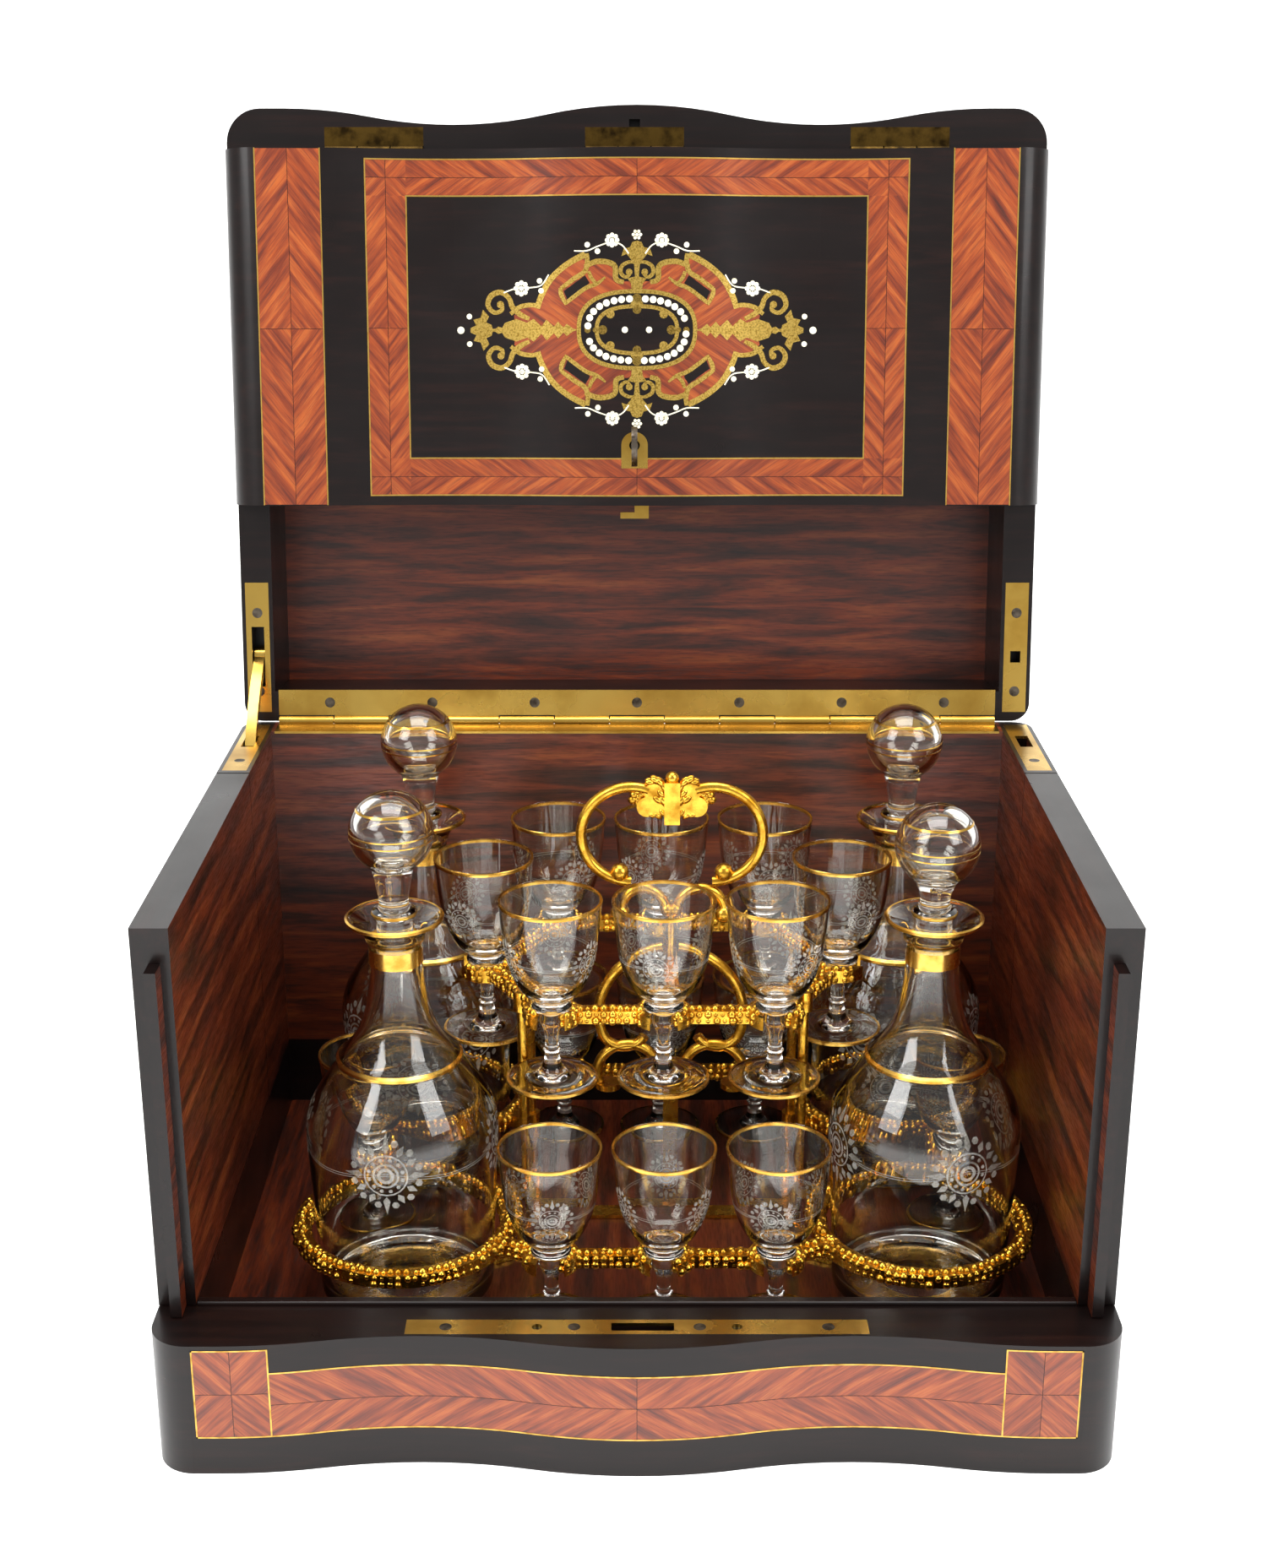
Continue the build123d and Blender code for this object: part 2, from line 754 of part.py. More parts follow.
def escutcheon_outline():
    """Upright oval plate with a flat foot, drawn on a front view."""
    with BuildSketch() as shield:
        with Locations((lock_offset, keyhole_z)):
            Circle(escutcheon_width / 2)
        shield_drop = escutcheon_height - escutcheon_width / 2
        with Locations((lock_offset, keyhole_z - shield_drop / 2)):
            Rectangle(escutcheon_width, shield_drop)
    return shield.sketch


with BuildPart() as front_panel:
    with BuildSketch(panel_sole):
        add(box_outline.sketch)
        with Locations((0, (front_y + panel_back_y) / 2)):
            Rectangle(box_width, panel_depth, mode=Mode.INTERSECT)
    extrude(amount=panel_height)
    with BuildSketch(panel_sole):
        with Locations((lock_offset, (panel_back_y + lock_front_y) / 2)):
            Rectangle(lock_width, lock_depth)
    extrude(amount=lock_height, mode=Mode.SUBTRACT)
    with BuildSketch(panel_sole):
        with Locations((lock_offset, (panel_back_y + lock_front_y) / 2)):
            Rectangle(lock_plate_width, lock_depth)
    extrude(amount=lock_sheet, mode=Mode.SUBTRACT)
    with BuildSketch(panel_face):
        add(keyhole())
    extrude(amount=-panel_depth, mode=Mode.SUBTRACT)
    with BuildSketch(panel_face):
        add(escutcheon_outline())
    extrude(amount=-escutcheon_inlay, mode=Mode.SUBTRACT)
    with BuildSketch(panel_head):
        with Locations(*panel_rebates):
            Rectangle(panel_hinge_length, panel_rebate_width)
    extrude(amount=-leaf_thickness, mode=Mode.SUBTRACT)
    for place in panel_hinge_places:
        with BuildSketch(on_panel(Plane.YZ.offset(place - panel_hinge_length / 2))):
            with Locations((panel_pivot_y, rim_height)):
                Circle(panel_knuckle_radius + knuckle_relief)
        extrude(amount=panel_hinge_length, mode=Mode.SUBTRACT)
save(front_panel.part, "front_panel")

with BuildPart() as escutcheon:
    with BuildSketch(panel_face.offset(escutcheon_proud)):
        add(escutcheon_outline())
        add(keyhole(), mode=Mode.SUBTRACT)
    extrude(amount=-(escutcheon_proud + escutcheon_inlay))
save(escutcheon.part, "escutcheon")


def panel_hinge(leaf_plane, thickness, knuckles, pinned, turned):
    """Three short butt hinges on one side of the panel's fold."""
    third = panel_hinge_length / 3
    with BuildPart() as hinge:
        for place in panel_hinge_places:
            left = place - panel_hinge_length / 2
            with BuildSketch(leaf_plane):
                with Locations((place, panel_leaf_middle)):
                    Rectangle(panel_hinge_length, panel_leaf_width)
            extrude(amount=thickness)
            for index in knuckles:
                start = left + index * third + knuckle_gap / 2
                with BuildSketch(turned(Plane.YZ.offset(start))):
                    with Locations((panel_pivot_y, rim_height)):
                        Circle(panel_knuckle_radius)
                extrude(amount=third - knuckle_gap)
                with BuildSketch(leaf_plane):
                    web_y = panel_pivot_y - panel_knuckle_radius / 2
                    with Locations((start + (third - knuckle_gap) / 2, web_y)):
                        Rectangle(third - knuckle_gap, panel_knuckle_radius)
                extrude(amount=thickness)
            with BuildSketch(turned(Plane.YZ.offset(left))):
                with Locations((panel_pivot_y, rim_height)):
                    Circle(panel_pin_radius + (0 if pinned else pin_play))
            extrude(amount=panel_hinge_length, mode=Mode.ADD if pinned else Mode.SUBTRACT)
    return hinge.part


save(panel_hinge(lid_rim, leaf_thickness, (0, 2), True, on_lid), "panel_hinge_fixed")
save(panel_hinge(panel_head, -leaf_thickness, (1,), False, on_panel), "panel_hinge_leaf")

# Lock case, open at the foot for the hook and at the front for the key
with BuildPart() as lock_case:
    with BuildSketch(panel_sole):
        with Locations((lock_offset, (panel_back_y + lock_front_y) / 2)):
            Rectangle(lock_width, lock_depth)
    extrude(amount=lock_height)
    with BuildSketch(panel_sole):
        with Locations((lock_offset, (panel_back_y + lock_front_y) / 2)):
            Rectangle(lock_plate_width, lock_depth)
    extrude(amount=lock_sheet)
    with BuildSketch(panel_sole.offset(lock_sheet)):
        with Locations((lock_offset, (panel_back_y + lock_front_y) / 2)):
            Rectangle(lock_width - 2 * lock_sheet, lock_depth - 2 * lock_sheet)
    extrude(amount=lock_height - 2 * lock_sheet, mode=Mode.SUBTRACT)
    with BuildSketch(panel_sole):
        with Locations((hook_slot_x, hook_y)):
            Rectangle(hook_slot_length, hook_thickness + 2 * lock_play)
    extrude(amount=2 * lock_sheet, mode=Mode.SUBTRACT)
    with BuildSketch(on_panel(Plane.XZ.offset(-lock_front_y))):
        add(keyhole())
    extrude(amount=-2 * lock_sheet, mode=Mode.SUBTRACT)
save(lock_case.part, "lock_case")

# Hook bolt that slides under the strike plate
with BuildPart() as lock_hook:
    with BuildSketch(on_panel(Plane.XZ.offset(-hook_y - hook_thickness / 2))):
        plate_foot = panel_foot_z + lock_sheet + lock_play
        with Locations((hook_x, plate_foot + hook_plate_height / 2)):
            Rectangle(hook_toe_width, hook_plate_height)
        leg_top = plate_foot + hook_plate_height / 2
        leg_foot = panel_foot_z - hook_reach
        leg_x = hook_x + (hook_toe_width - hook_leg_width) / 2
        with Locations((leg_x, (leg_top + leg_foot) / 2)):
            Rectangle(hook_leg_width, leg_top - leg_foot)
        with Locations((hook_x, leg_foot + hook_toe_height / 2)):
            Rectangle(hook_toe_width, hook_toe_height)
    extrude(amount=hook_thickness)
save(lock_hook.part, "lock_hook")

# Key with a ring bow and a single bit
key_tip_y = lock_front_y + lock_depth - lock_sheet - lock_play
key_bow_y = front_y - key_stand_off - key_bow_radius
with BuildPart() as key:
    with BuildSketch(on_panel(Plane.XZ.offset(-key_tip_y))):
        with Locations((lock_offset, keyhole_z)):
            Circle(key_shank_radius)
    extrude(amount=key_tip_y - key_bow_y - key_bow_radius + key_bow_wire)
    with BuildSketch(on_panel(Plane.YZ.offset(lock_offset - key_bow_wire / 2))):
        with Locations((key_bow_y, keyhole_z)):
            Circle(key_bow_radius)
            Circle(key_bow_radius - key_bow_wire, mode=Mode.SUBTRACT)
    extrude(amount=key_bow_wire)
    with BuildSketch(on_panel(Plane.YZ.offset(lock_offset - key_bit_width / 2))):
        bit_middle = keyhole_z - key_shank_radius - key_bit_drop / 2
        with Locations((key_tip_y - key_bit_length / 2, bit_middle + key_shank_radius / 2)):
            Rectangle(key_bit_length, key_bit_drop)
    extrude(amount=key_bit_width)
save(key.part, "key")

# Brass stay, pivoted in the lid's left rail and guided by the block's slot
stay_y = hinge_y - stay_from_hinge
with BuildPart() as stay_pin:
    with BuildSketch(on_lid(Plane.YZ.offset(-plate_x - stay_pin_length / 2))):
        with Locations((stay_y, rim_height + stay_inset)):
            Circle(stay_pin_radius)
    extrude(amount=stay_pin_length)
save(stay_pin.part, "stay_pin")

open_turn = radians(-lid_opening)
stay_pivot_y = hinge_y - stay_from_hinge * cos(open_turn) - stay_inset * sin(open_turn)
stay_pivot_z = rim_height - stay_from_hinge * sin(open_turn) + stay_inset * cos(open_turn)
stay_plane = Plane(
    origin=(-plate_x - stay_width / 2, stay_pivot_y, stay_pivot_z),
    x_dir=(0, cos(radians(stay_angle)), sin(radians(stay_angle))),
    z_dir=(1, 0, 0),
)
with BuildPart() as stay_arm:
    with BuildSketch(stay_plane):
        with BuildLine():
            upper = ThreePointArc(
                (0, -stay_thickness / 2),
                (stay_length / 2, -stay_thickness / 2 - stay_bow),
                (stay_length, -stay_thickness / 2),
            )
            lower = ThreePointArc(
                (0, stay_thickness / 2),
                (stay_length / 2, stay_thickness / 2 - stay_bow),
                (stay_length, stay_thickness / 2),
            )
            Line(upper @ 0, lower @ 0)
            Line(upper @ 1, lower @ 1)
        make_face()
        Circle(stay_eye_radius)
        Circle(stay_pin_radius + pin_play, mode=Mode.SUBTRACT)
    extrude(amount=stay_width)
save(stay_arm.part, "stay_arm")

# Rack places
decanter_spots = {
    "front_left": (rack_x - decanter_offset_x, rack_y - decanter_offset_y),
    "front_right": (rack_x + decanter_offset_x, rack_y - decanter_offset_y),
    "back_left": (rack_x - decanter_offset_x, rack_y + decanter_offset_y),
    "back_right": (rack_x + decanter_offset_x, rack_y + decanter_offset_y),
}


def glass_row(front, back, across):
    """Names, places and outward directions of one tier of glasses."""
    spots = {}
    for word, shift in (("left", -glass_spread), ("middle", 0), ("right", glass_spread)):
        spots[f"front_{word}"] = (rack_x + shift, rack_y - front, -90)
        spots[f"back_{word}"] = (rack_x + shift, rack_y + back, 90)
    spots["side_left"] = (rack_x - across, rack_y, 180)
    spots["side_right"] = (rack_x + across, rack_y, 0)
    return spots


lower_spots = glass_row(lower_front_offset, lower_back_offset, lower_side_offset)
upper_spots = glass_row(upper_row_offset, upper_row_offset, upper_side_offset)
post_spots = [
    (rack_x + side * post_x, rack_y + end * post_y) for side in (-1, 1) for end in (-1, 1)
]


def cut_notches(spots):
    """Cut the glass notches, open outward, from the current sketch."""
    for x, y, heading in spots.values():
        with Locations((x, y)):
            Circle(notch_inner, mode=Mode.SUBTRACT)
        with Locations(Location((x, y), heading)):
            with Locations((notch_outer / 2 + cut_over, 0)):
                Rectangle(notch_outer + 2 * cut_over, notch_mouth, mode=Mode.SUBTRACT)


def place(spots, word):
    """The plan position of a named spot."""
    return spots[word][0], spots[word][1]


# Lower gallery: four decanter rings and eight notches in one band
with BuildPart() as lower_gallery:
    with BuildSketch(Plane.XY.offset(lower_band)):
        with Locations(*decanter_spots.values()):
            Circle(ring_outer)
        with Locations(*[(x, y) for x, y, _ in lower_spots.values()]):
            Circle(notch_outer)
        for end in ("front", "back"):
            left, right = place(lower_spots, f"{end}_left"), place(lower_spots, f"{end}_right")
            bar(left, right, band_width)
            bar(left, decanter_spots[f"{end}_left"], band_width)
            bar(right, decanter_spots[f"{end}_right"], band_width)
        for side in ("left", "right"):
            middle = place(lower_spots, f"side_{side}")
            for end in ("front", "back"):
                bar(middle, decanter_spots[f"{end}_{side}"], band_width)
        for spot, post in zip(sorted(decanter_spots.values()), sorted(post_spots)):
            bar(spot, post, band_width)
        with Locations(*post_spots):
            Circle(post_collar_radius)
            Circle(post_radius + post_play, mode=Mode.SUBTRACT)
        with Locations(*decanter_spots.values()):
            Circle(ring_inner, mode=Mode.SUBTRACT)
        cut_notches(lower_spots)
    extrude(amount=band_height)
save(lower_gallery.part, "lower_gallery")

# Upper gallery: eight notches, with a crossbar that carries the handle
with BuildPart() as upper_gallery:
    with BuildSketch(Plane.XY.offset(upper_band)):
        with Locations(*[(x, y) for x, y, _ in upper_spots.values()]):
            Circle(notch_outer)
        for end in ("front", "back"):
            left, right = place(upper_spots, f"{end}_left"), place(upper_spots, f"{end}_right")
            bar(left, right, band_width)
            bar(left, place(upper_spots, "side_left"), band_width)
            bar(right, place(upper_spots, "side_right"), band_width)
        bar((frame_x, rack_y - upper_row_offset), (frame_x, rack_y + upper_row_offset), band_width)
        with Locations(*post_spots):
            Circle(post_collar_radius)
            Circle(post_radius + post_play, mode=Mode.SUBTRACT)
        cut_notches(upper_spots)
    extrude(amount=band_height)
save(upper_gallery.part, "upper_gallery")

# Thin bottom frame with a coaster under each decanter
with BuildPart() as rack_foot_frame:
    with BuildSketch(Plane.XY.offset(rack_base)):
        for spot, post in zip(sorted(decanter_spots.values()), sorted(post_spots)):
            bar(spot, post, foot_bar)
        for side in (-1, 1):
            bar((rack_x + side * post_x, rack_y - post_y),
                (rack_x + side * post_x, rack_y + post_y), foot_bar)
        bar((rack_x - post_x, rack_y), (rack_x + post_x, rack_y), foot_bar)
        with Locations(*decanter_spots.values()):
            Circle(coaster_radius)
            Circle(coaster_hole, mode=Mode.SUBTRACT)
    extrude(amount=rack_foot)
save(rack_foot_frame.part, "rack_foot_frame")

# Four turned posts between the bottom frame and the upper gallery
post_base = rack_base + rack_foot
with BuildPart() as rack_posts:
    with BuildSketch(Plane.XY.offset(post_base)):
        with Locations(*post_spots):
            Circle(post_radius)
    extrude(amount=upper_band + band_height - post_base)
    for collar in (post_base, lower_band - post_collar_height,
                   upper_band - post_collar_height, lower_band + band_height):
        with BuildSketch(Plane.XY.offset(collar)):
            with Locations(*post_spots):
                Circle(post_collar_radius)
        extrude(amount=post_collar_height)
save(rack_posts.part, "rack_posts")


def paired_curl(offset, z, radius, start, end):
    """Round wire bent along an arc on the left, and the same mirrored on the right."""
    for side in (-1, 1):
        first = (-side * cos(radians(start)), 0, sin(radians(start)))
        middle = (frame_x + side * offset, rack_y, z)
        with Locations(Plane(origin=middle, x_dir=first, z_dir=(0, side, 0))):
            Torus(radius, wire_radius, major_angle=end - start, align=None)


def paired_balls(offset, z, radius):
    """A ball on each side of the upright frame."""
    with Locations((frame_x - offset, rack_y, z), (frame_x + offset, rack_y, z)):
        Sphere(radius)


# Scroll frame that stands on the bottom frame, inside the upper gallery
scroll_foot = rack_base + rack_foot
scroll_ring_z = rack_base + scroll_ring_rise
scroll_arch_z = scroll_ring_z - scroll_arch_drop
ring_start = 90 + degrees(scroll_ring_gap / 2 / scroll_ring_radius)
ring_end_x = scroll_ring_radius * cos(radians(scroll_ring_angle))
ring_end_z = scroll_ring_z + scroll_ring_radius * sin(radians(scroll_ring_angle))
curl_x = ring_end_x - scroll_curl_radius * cos(radians(scroll_ring_angle))
curl_z = ring_end_z - scroll_curl_radius * sin(radians(scroll_ring_angle))
curl_tip_x = curl_x + scroll_curl_radius * cos(radians(scroll_curl_angle))
curl_tip_z = curl_z + scroll_curl_radius * sin(radians(scroll_curl_angle)) + scroll_ball
rosette_z = scroll_arch_z + scroll_arch_radius * sin(radians(scroll_arch_angle))
with BuildPart() as scroll_frame:
    with BuildSketch(Plane.XY.offset(scroll_foot)):
        with Locations((frame_x, rack_y)):
            Rectangle(stem_width, 2 * wire_radius)
    extrude(amount=scroll_arch_z + wire_radius - scroll_foot)
    with Locations((frame_x, rack_y, scroll_arch_z + wire_radius)):
        Sphere(stem_ball)
    paired_curl(0, scroll_ring_z, scroll_ring_radius, ring_start, scroll_ring_angle)
    paired_curl(-curl_x, curl_z, scroll_curl_radius, scroll_ring_angle, scroll_curl_angle)
    paired_curl(scroll_arch_offset, scroll_arch_z, scroll_arch_radius, 0, scroll_arch_angle)
    paired_balls(-curl_tip_x, curl_tip_z, scroll_ball)
    with BuildSketch(Plane.XY.offset(rosette_z)):
        with Locations((frame_x - rosette_offset, rack_y), (frame_x + rosette_offset, rack_y)):
            Circle(rosette_radius)
    extrude(amount=-rosette_thickness)
save(scroll_frame.part, "scroll_frame")

# Bow handle: two bent wires, a leafy crest between them and a stem below
bow_z = rack_base + bow_rise
arch_z = bow_z - arch_drop
crest_foot = bow_z + crest_drop
handle_front = Plane.XZ.offset(-rack_y - leaf_depth / 2)
with BuildPart() as rack_handle:
    with BuildSketch(Plane.XY.offset(upper_band + band_height)):
        with Locations((frame_x, rack_y)):
            Circle(handle_stem_radius)
    extrude(amount=arch_z - upper_band - band_height)
    paired_curl(arch_offset, arch_z, arch_radius, 0, arch_angle)
    paired_balls(clasp_ball / 2, arch_z, clasp_ball)
    paired_balls(arch_offset + arch_radius, arch_z - handle_ball / 2, handle_ball)
    paired_curl(bow_offset, bow_z, bow_radius, bow_start_angle, bow_end_angle)
    paired_balls(handle_ball_offset, bow_z - handle_ball_drop, handle_ball)
    with BuildSketch(Plane.XY.offset(crest_foot)):
        with Locations((frame_x, rack_y)):
            Rectangle(crest_width, crest_depth)
    extrude(amount=crest_height)
    with Locations((frame_x, rack_y, crest_foot + crest_height + crest_knob / 2)):
        Sphere(crest_knob)
    with BuildSketch(handle_front):
        for side in (-1, 1):
            with Locations((frame_x + side * volute_offset, bow_z + volute_rise)):
                Circle(volute_radius)
            with Locations((frame_x + side * leaf_offset, bow_z + leaf_rise)):
                Circle(leaf_radius)
            with Locations((frame_x + side * leaf_offset / 2, bow_z + volute_rise)):
                Rectangle(leaf_offset, 2 * leaf_radius)
    extrude(amount=leaf_depth)
save(rack_handle.part, "rack_handle")


def glass(x, y, foot):
    """A cordial glass, turned round its own axis."""
    bowl_floor = glass_collar_height + glass_bottom
    with BuildPart() as turned:
        with BuildSketch(Plane.XZ) as half:
            with BuildLine():
                Polyline(
                    (0, 0),
                    (glass_foot_radius, 0),
                    (glass_foot_radius, glass_foot_edge),
                    (glass_stem_radius, glass_foot_cone),
                    (glass_knop_radius, glass_knop_height),
                    (glass_stem_radius, glass_collar_height),
                    (glass_collar_radius, glass_collar_height),
                    (glass_collar_radius, glass_collar_height + glass_collar_thickness),
                    (glass_belly_radius, glass_belly_height),
                    (glass_rim_radius, glass_height),
                    (glass_rim_radius - glass_wall, glass_height),
                    (glass_belly_radius - glass_wall, glass_belly_height),
                    (glass_bowl_root, bowl_floor),
                    (0, bowl_floor),
                    close=True,
                )
            make_face()
        revolve(axis=Axis.Z)
    return Pos(x, y, foot) * turned.part


for tier, spots, foot in (("lower", lower_spots, lower_foot), ("upper", upper_spots, upper_foot)):
    for word, (x, y, _) in spots.items():
        save(glass(x, y, foot), f"glass_{tier}_{word}")


def decanter(x, y):
    """A decanter with a flared lip, turned round its own axis."""
    with BuildPart() as turned:
        with BuildSketch(Plane.XZ):
            with BuildLine():
                Polyline(
                    (0, 0),
                    (decanter_foot_radius - decanter_foot_round, 0),
                    (decanter_foot_radius, decanter_foot_round),
                    (decanter_shoulder_radius, decanter_shoulder_height),
                    (decanter_ring_radius, decanter_ring_height),
                    (decanter_neck_radius, decanter_neck_height),
                    (decanter_lip_radius, decanter_lip_height - decanter_lip_thickness),
                    (decanter_lip_radius, decanter_lip_height),
                    (decanter_bore, decanter_lip_height - decanter_lip_thickness),
                    (decanter_bore, decanter_neck_height),
                    (decanter_ring_radius - decanter_wall, decanter_ring_height),
                    (decanter_shoulder_radius - decanter_wall, decanter_shoulder_height),
                    (decanter_foot_radius - decanter_wall, decanter_bottom),
                    (0, decanter_bottom),
                    close=True,
                )
            make_face()
        revolve(axis=Axis.Z)
    return Pos(x, y, decanter_foot) * turned.part


def stopper(x, y, neck_height, ball_height):
    """A ball stopper with a collar that sits on the lip."""
    with BuildPart() as turned:
        with BuildSketch(Plane.XZ):
            with BuildLine():
                ball_bottom = ball_height - stopper_ball_radius
                Polyline(
                    (0, -stopper_plug_length),
                    (stopper_plug_radius - stopper_plug_taper, -stopper_plug_length),
                    (stopper_plug_radius, 0),
                    (stopper_collar_radius, 0),
                    (stopper_collar_radius, stopper_collar_height),
                    (stopper_neck_radius, neck_height),
                    (stopper_neck_radius, ball_bottom + stopper_neck_radius / 2),
                    (0, ball_bottom + stopper_neck_radius / 2),
                    close=True,
                )
            make_face()
        revolve(axis=Axis.Z)
        with Locations((0, 0, ball_height)):
            Sphere(stopper_ball_radius)
    return Pos(x, y, decanter_foot + decanter_lip_height + seat_gap) * turned.part


for word, (x, y) in decanter_spots.items():
    save(decanter(x, y), f"decanter_{word}")
    sunk = stopper_deep_seat if word == "front_right" else 0
    save(stopper(x, y, stopper_neck_height, stopper_ball_height - sunk), f"stopper_{word}")
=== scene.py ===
# %% [markdown]
# A liqueur cabinet stands open on a pale floor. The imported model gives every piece's
# place, so the script loads it first and builds the looks around it, in metres.

# %% Load the frame
import json
import math
import random

import bmesh
import bpy
from mathutils import Matrix, Vector


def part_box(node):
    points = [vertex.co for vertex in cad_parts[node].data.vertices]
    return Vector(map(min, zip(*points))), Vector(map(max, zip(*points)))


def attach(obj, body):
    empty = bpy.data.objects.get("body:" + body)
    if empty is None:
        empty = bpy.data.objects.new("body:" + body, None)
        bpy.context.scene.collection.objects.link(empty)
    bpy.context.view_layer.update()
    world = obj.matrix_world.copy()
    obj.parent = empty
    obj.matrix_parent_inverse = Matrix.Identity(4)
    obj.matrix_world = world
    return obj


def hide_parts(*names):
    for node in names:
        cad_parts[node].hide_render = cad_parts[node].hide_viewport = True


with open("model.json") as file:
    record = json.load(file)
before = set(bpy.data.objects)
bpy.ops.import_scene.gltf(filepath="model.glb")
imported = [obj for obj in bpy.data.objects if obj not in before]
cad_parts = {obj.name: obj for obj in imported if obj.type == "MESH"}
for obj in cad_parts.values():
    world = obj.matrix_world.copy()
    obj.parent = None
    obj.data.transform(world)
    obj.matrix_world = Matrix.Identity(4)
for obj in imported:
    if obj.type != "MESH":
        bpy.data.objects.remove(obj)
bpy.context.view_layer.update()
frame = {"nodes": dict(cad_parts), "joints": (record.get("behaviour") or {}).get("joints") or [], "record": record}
MM = 0.001
nodes = frame["nodes"]
joints = {joint["name"]: joint for joint in frame["joints"]}

# %% [markdown]
# The lid and the panel are drawn closed, where their faces are level or upright, and
# then turned open. The pivots are read from the joints. The angles are the open lid's
# from shut and the folded panel's, which the joints' ranges don't give.

# %% Turns from the closed box to the open one
lid_pivot = Vector(joints["lid_hinge"]["pos_m"])
LID_OPENING = math.radians(-98.8)
panel_pivot_open = Vector(joints["panel_fold"]["pos_m"])
PANEL_FOLD = math.radians(90)


def turn_about(point, angle):
    """Turn about a line along X through a point."""
    there = Matrix.Translation(point)
    return there @ Matrix.Rotation(angle, 4, "X") @ there.inverted()


to_lid = turn_about(lid_pivot, LID_OPENING)
panel_pivot = to_lid.inverted() @ panel_pivot_open
to_panel = to_lid @ turn_about(panel_pivot, PANEL_FOLD)
in_place = Matrix.Identity(4)
print("closed panel pivot", panel_pivot)

# %% [markdown]
# The front is serpentine: one middle swell, two dips and two side swells, all arcs. The
# veneers and brass lines have to follow it, so one function gives the front's depth.

# %% The serpentine front
base_low, base_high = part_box("base_box")
FRONT = base_low.y
DIP_X = 76 * MM
DIP_DEPTH = 8 * MM
SIDE_X = 146 * MM
SIDE_DEPTH = 1.5 * MM
CORNER = 14 * MM
CORNER_X = base_high.x - CORNER


def arc_rise(run, length, height):
    """Rise of a tangent arc pair that climbs height over length."""
    half_run, half_rise = length / 2, height / 2
    radius = (half_run**2 + half_rise**2) / (2 * half_rise)
    if run <= half_run:
        return radius - math.sqrt(radius**2 - run**2)
    return height - (radius - math.sqrt(radius**2 - (length - run) ** 2))


def front_y(x):
    """Depth of the serpentine front at a width."""
    x = abs(x)
    if x <= DIP_X:
        return FRONT + arc_rise(x, DIP_X, DIP_DEPTH)
    if x <= SIDE_X:
        return FRONT + DIP_DEPTH - arc_rise(x - DIP_X, SIDE_X - DIP_X, DIP_DEPTH - SIDE_DEPTH)
    if x <= CORNER_X:
        return FRONT + SIDE_DEPTH
    return FRONT + SIDE_DEPTH + CORNER - math.sqrt(CORNER**2 - min(x - CORNER_X, CORNER) ** 2)


# %% [markdown]
# Colours are given as sRGB hex values and turned to linear by one function. A second
# small function adds any node with its settings and links, so every material reads alike.

# %% Colour and node helpers
def linear(code):
    """Linear colour from an sRGB hex code."""
    parts = [int(code[i : i + 2], 16) / 255 for i in (0, 2, 4)]
    return [p / 12.92 if p <= 0.04045 else ((p + 0.055) / 1.055) ** 2.4 for p in parts] + [1.0]


def add(tree, kind, links=None, **settings):
    """Add a node, set its values and link its inputs."""
    node = tree.nodes.new(kind)
    for key, value in settings.items():
        setattr(node, key, value)
    for name, source in (links or {}).items():
        socket = node.inputs[name]
        if isinstance(source, bpy.types.NodeSocket):
            tree.links.new(source, socket)
        else:
            socket.default_value = source
    return node


def new_material(name):
    """An empty material with its output and one Principled shader."""
    material = bpy.data.materials.new(name)
    material.use_nodes = True
    tree = material.node_tree
    tree.nodes.clear()
    shader = add(tree, "ShaderNodeBsdfPrincipled")
    add(tree, "ShaderNodeOutputMaterial", {"Surface": shader.outputs["BSDF"]})
    return material, tree, shader


def ramp(tree, factor, stops):
    """A colour ramp from (position, hex) stops."""
    node = add(tree, "ShaderNodeValToRGB", {"Fac": factor})
    elements = node.color_ramp.elements
    while len(elements) < len(stops):
        elements.new(0.5)
    for element, (position, code) in zip(elements, stops):
        element.position = position
        element.color = linear(code)
    return node.outputs["Color"]


def grey_ramp(tree, factor, stops):
    """A ramp of plain values from (position, value) stops."""
    node = add(tree, "ShaderNodeValToRGB", {"Fac": factor})
    elements = node.color_ramp.elements
    while len(elements) < len(stops):
        elements.new(0.5)
    for element, (position, value) in zip(elements, stops):
        element.position = position
        element.color = (value, value, value, 1)
    return node.outputs["Color"]


def mapped(tree, coordinates, scale, turn=(0, 0, 0)):
    """Coordinates turned and scaled by a Mapping node."""
    source = add(tree, "ShaderNodeTexCoord").outputs[coordinates]
    node = add(tree, "ShaderNodeMapping", {"Vector": source, "Scale": scale, "Rotation": turn})
    return node.outputs["Vector"]


# %% [markdown]
# The carcase is pear wood stained black and French polished. It isn't a flat black: a
# brown grain shows through, the shellac gives a soft gloss and fine wear dulls it.

# %% Ebonised pear wood
PORE = 0.5 * MM


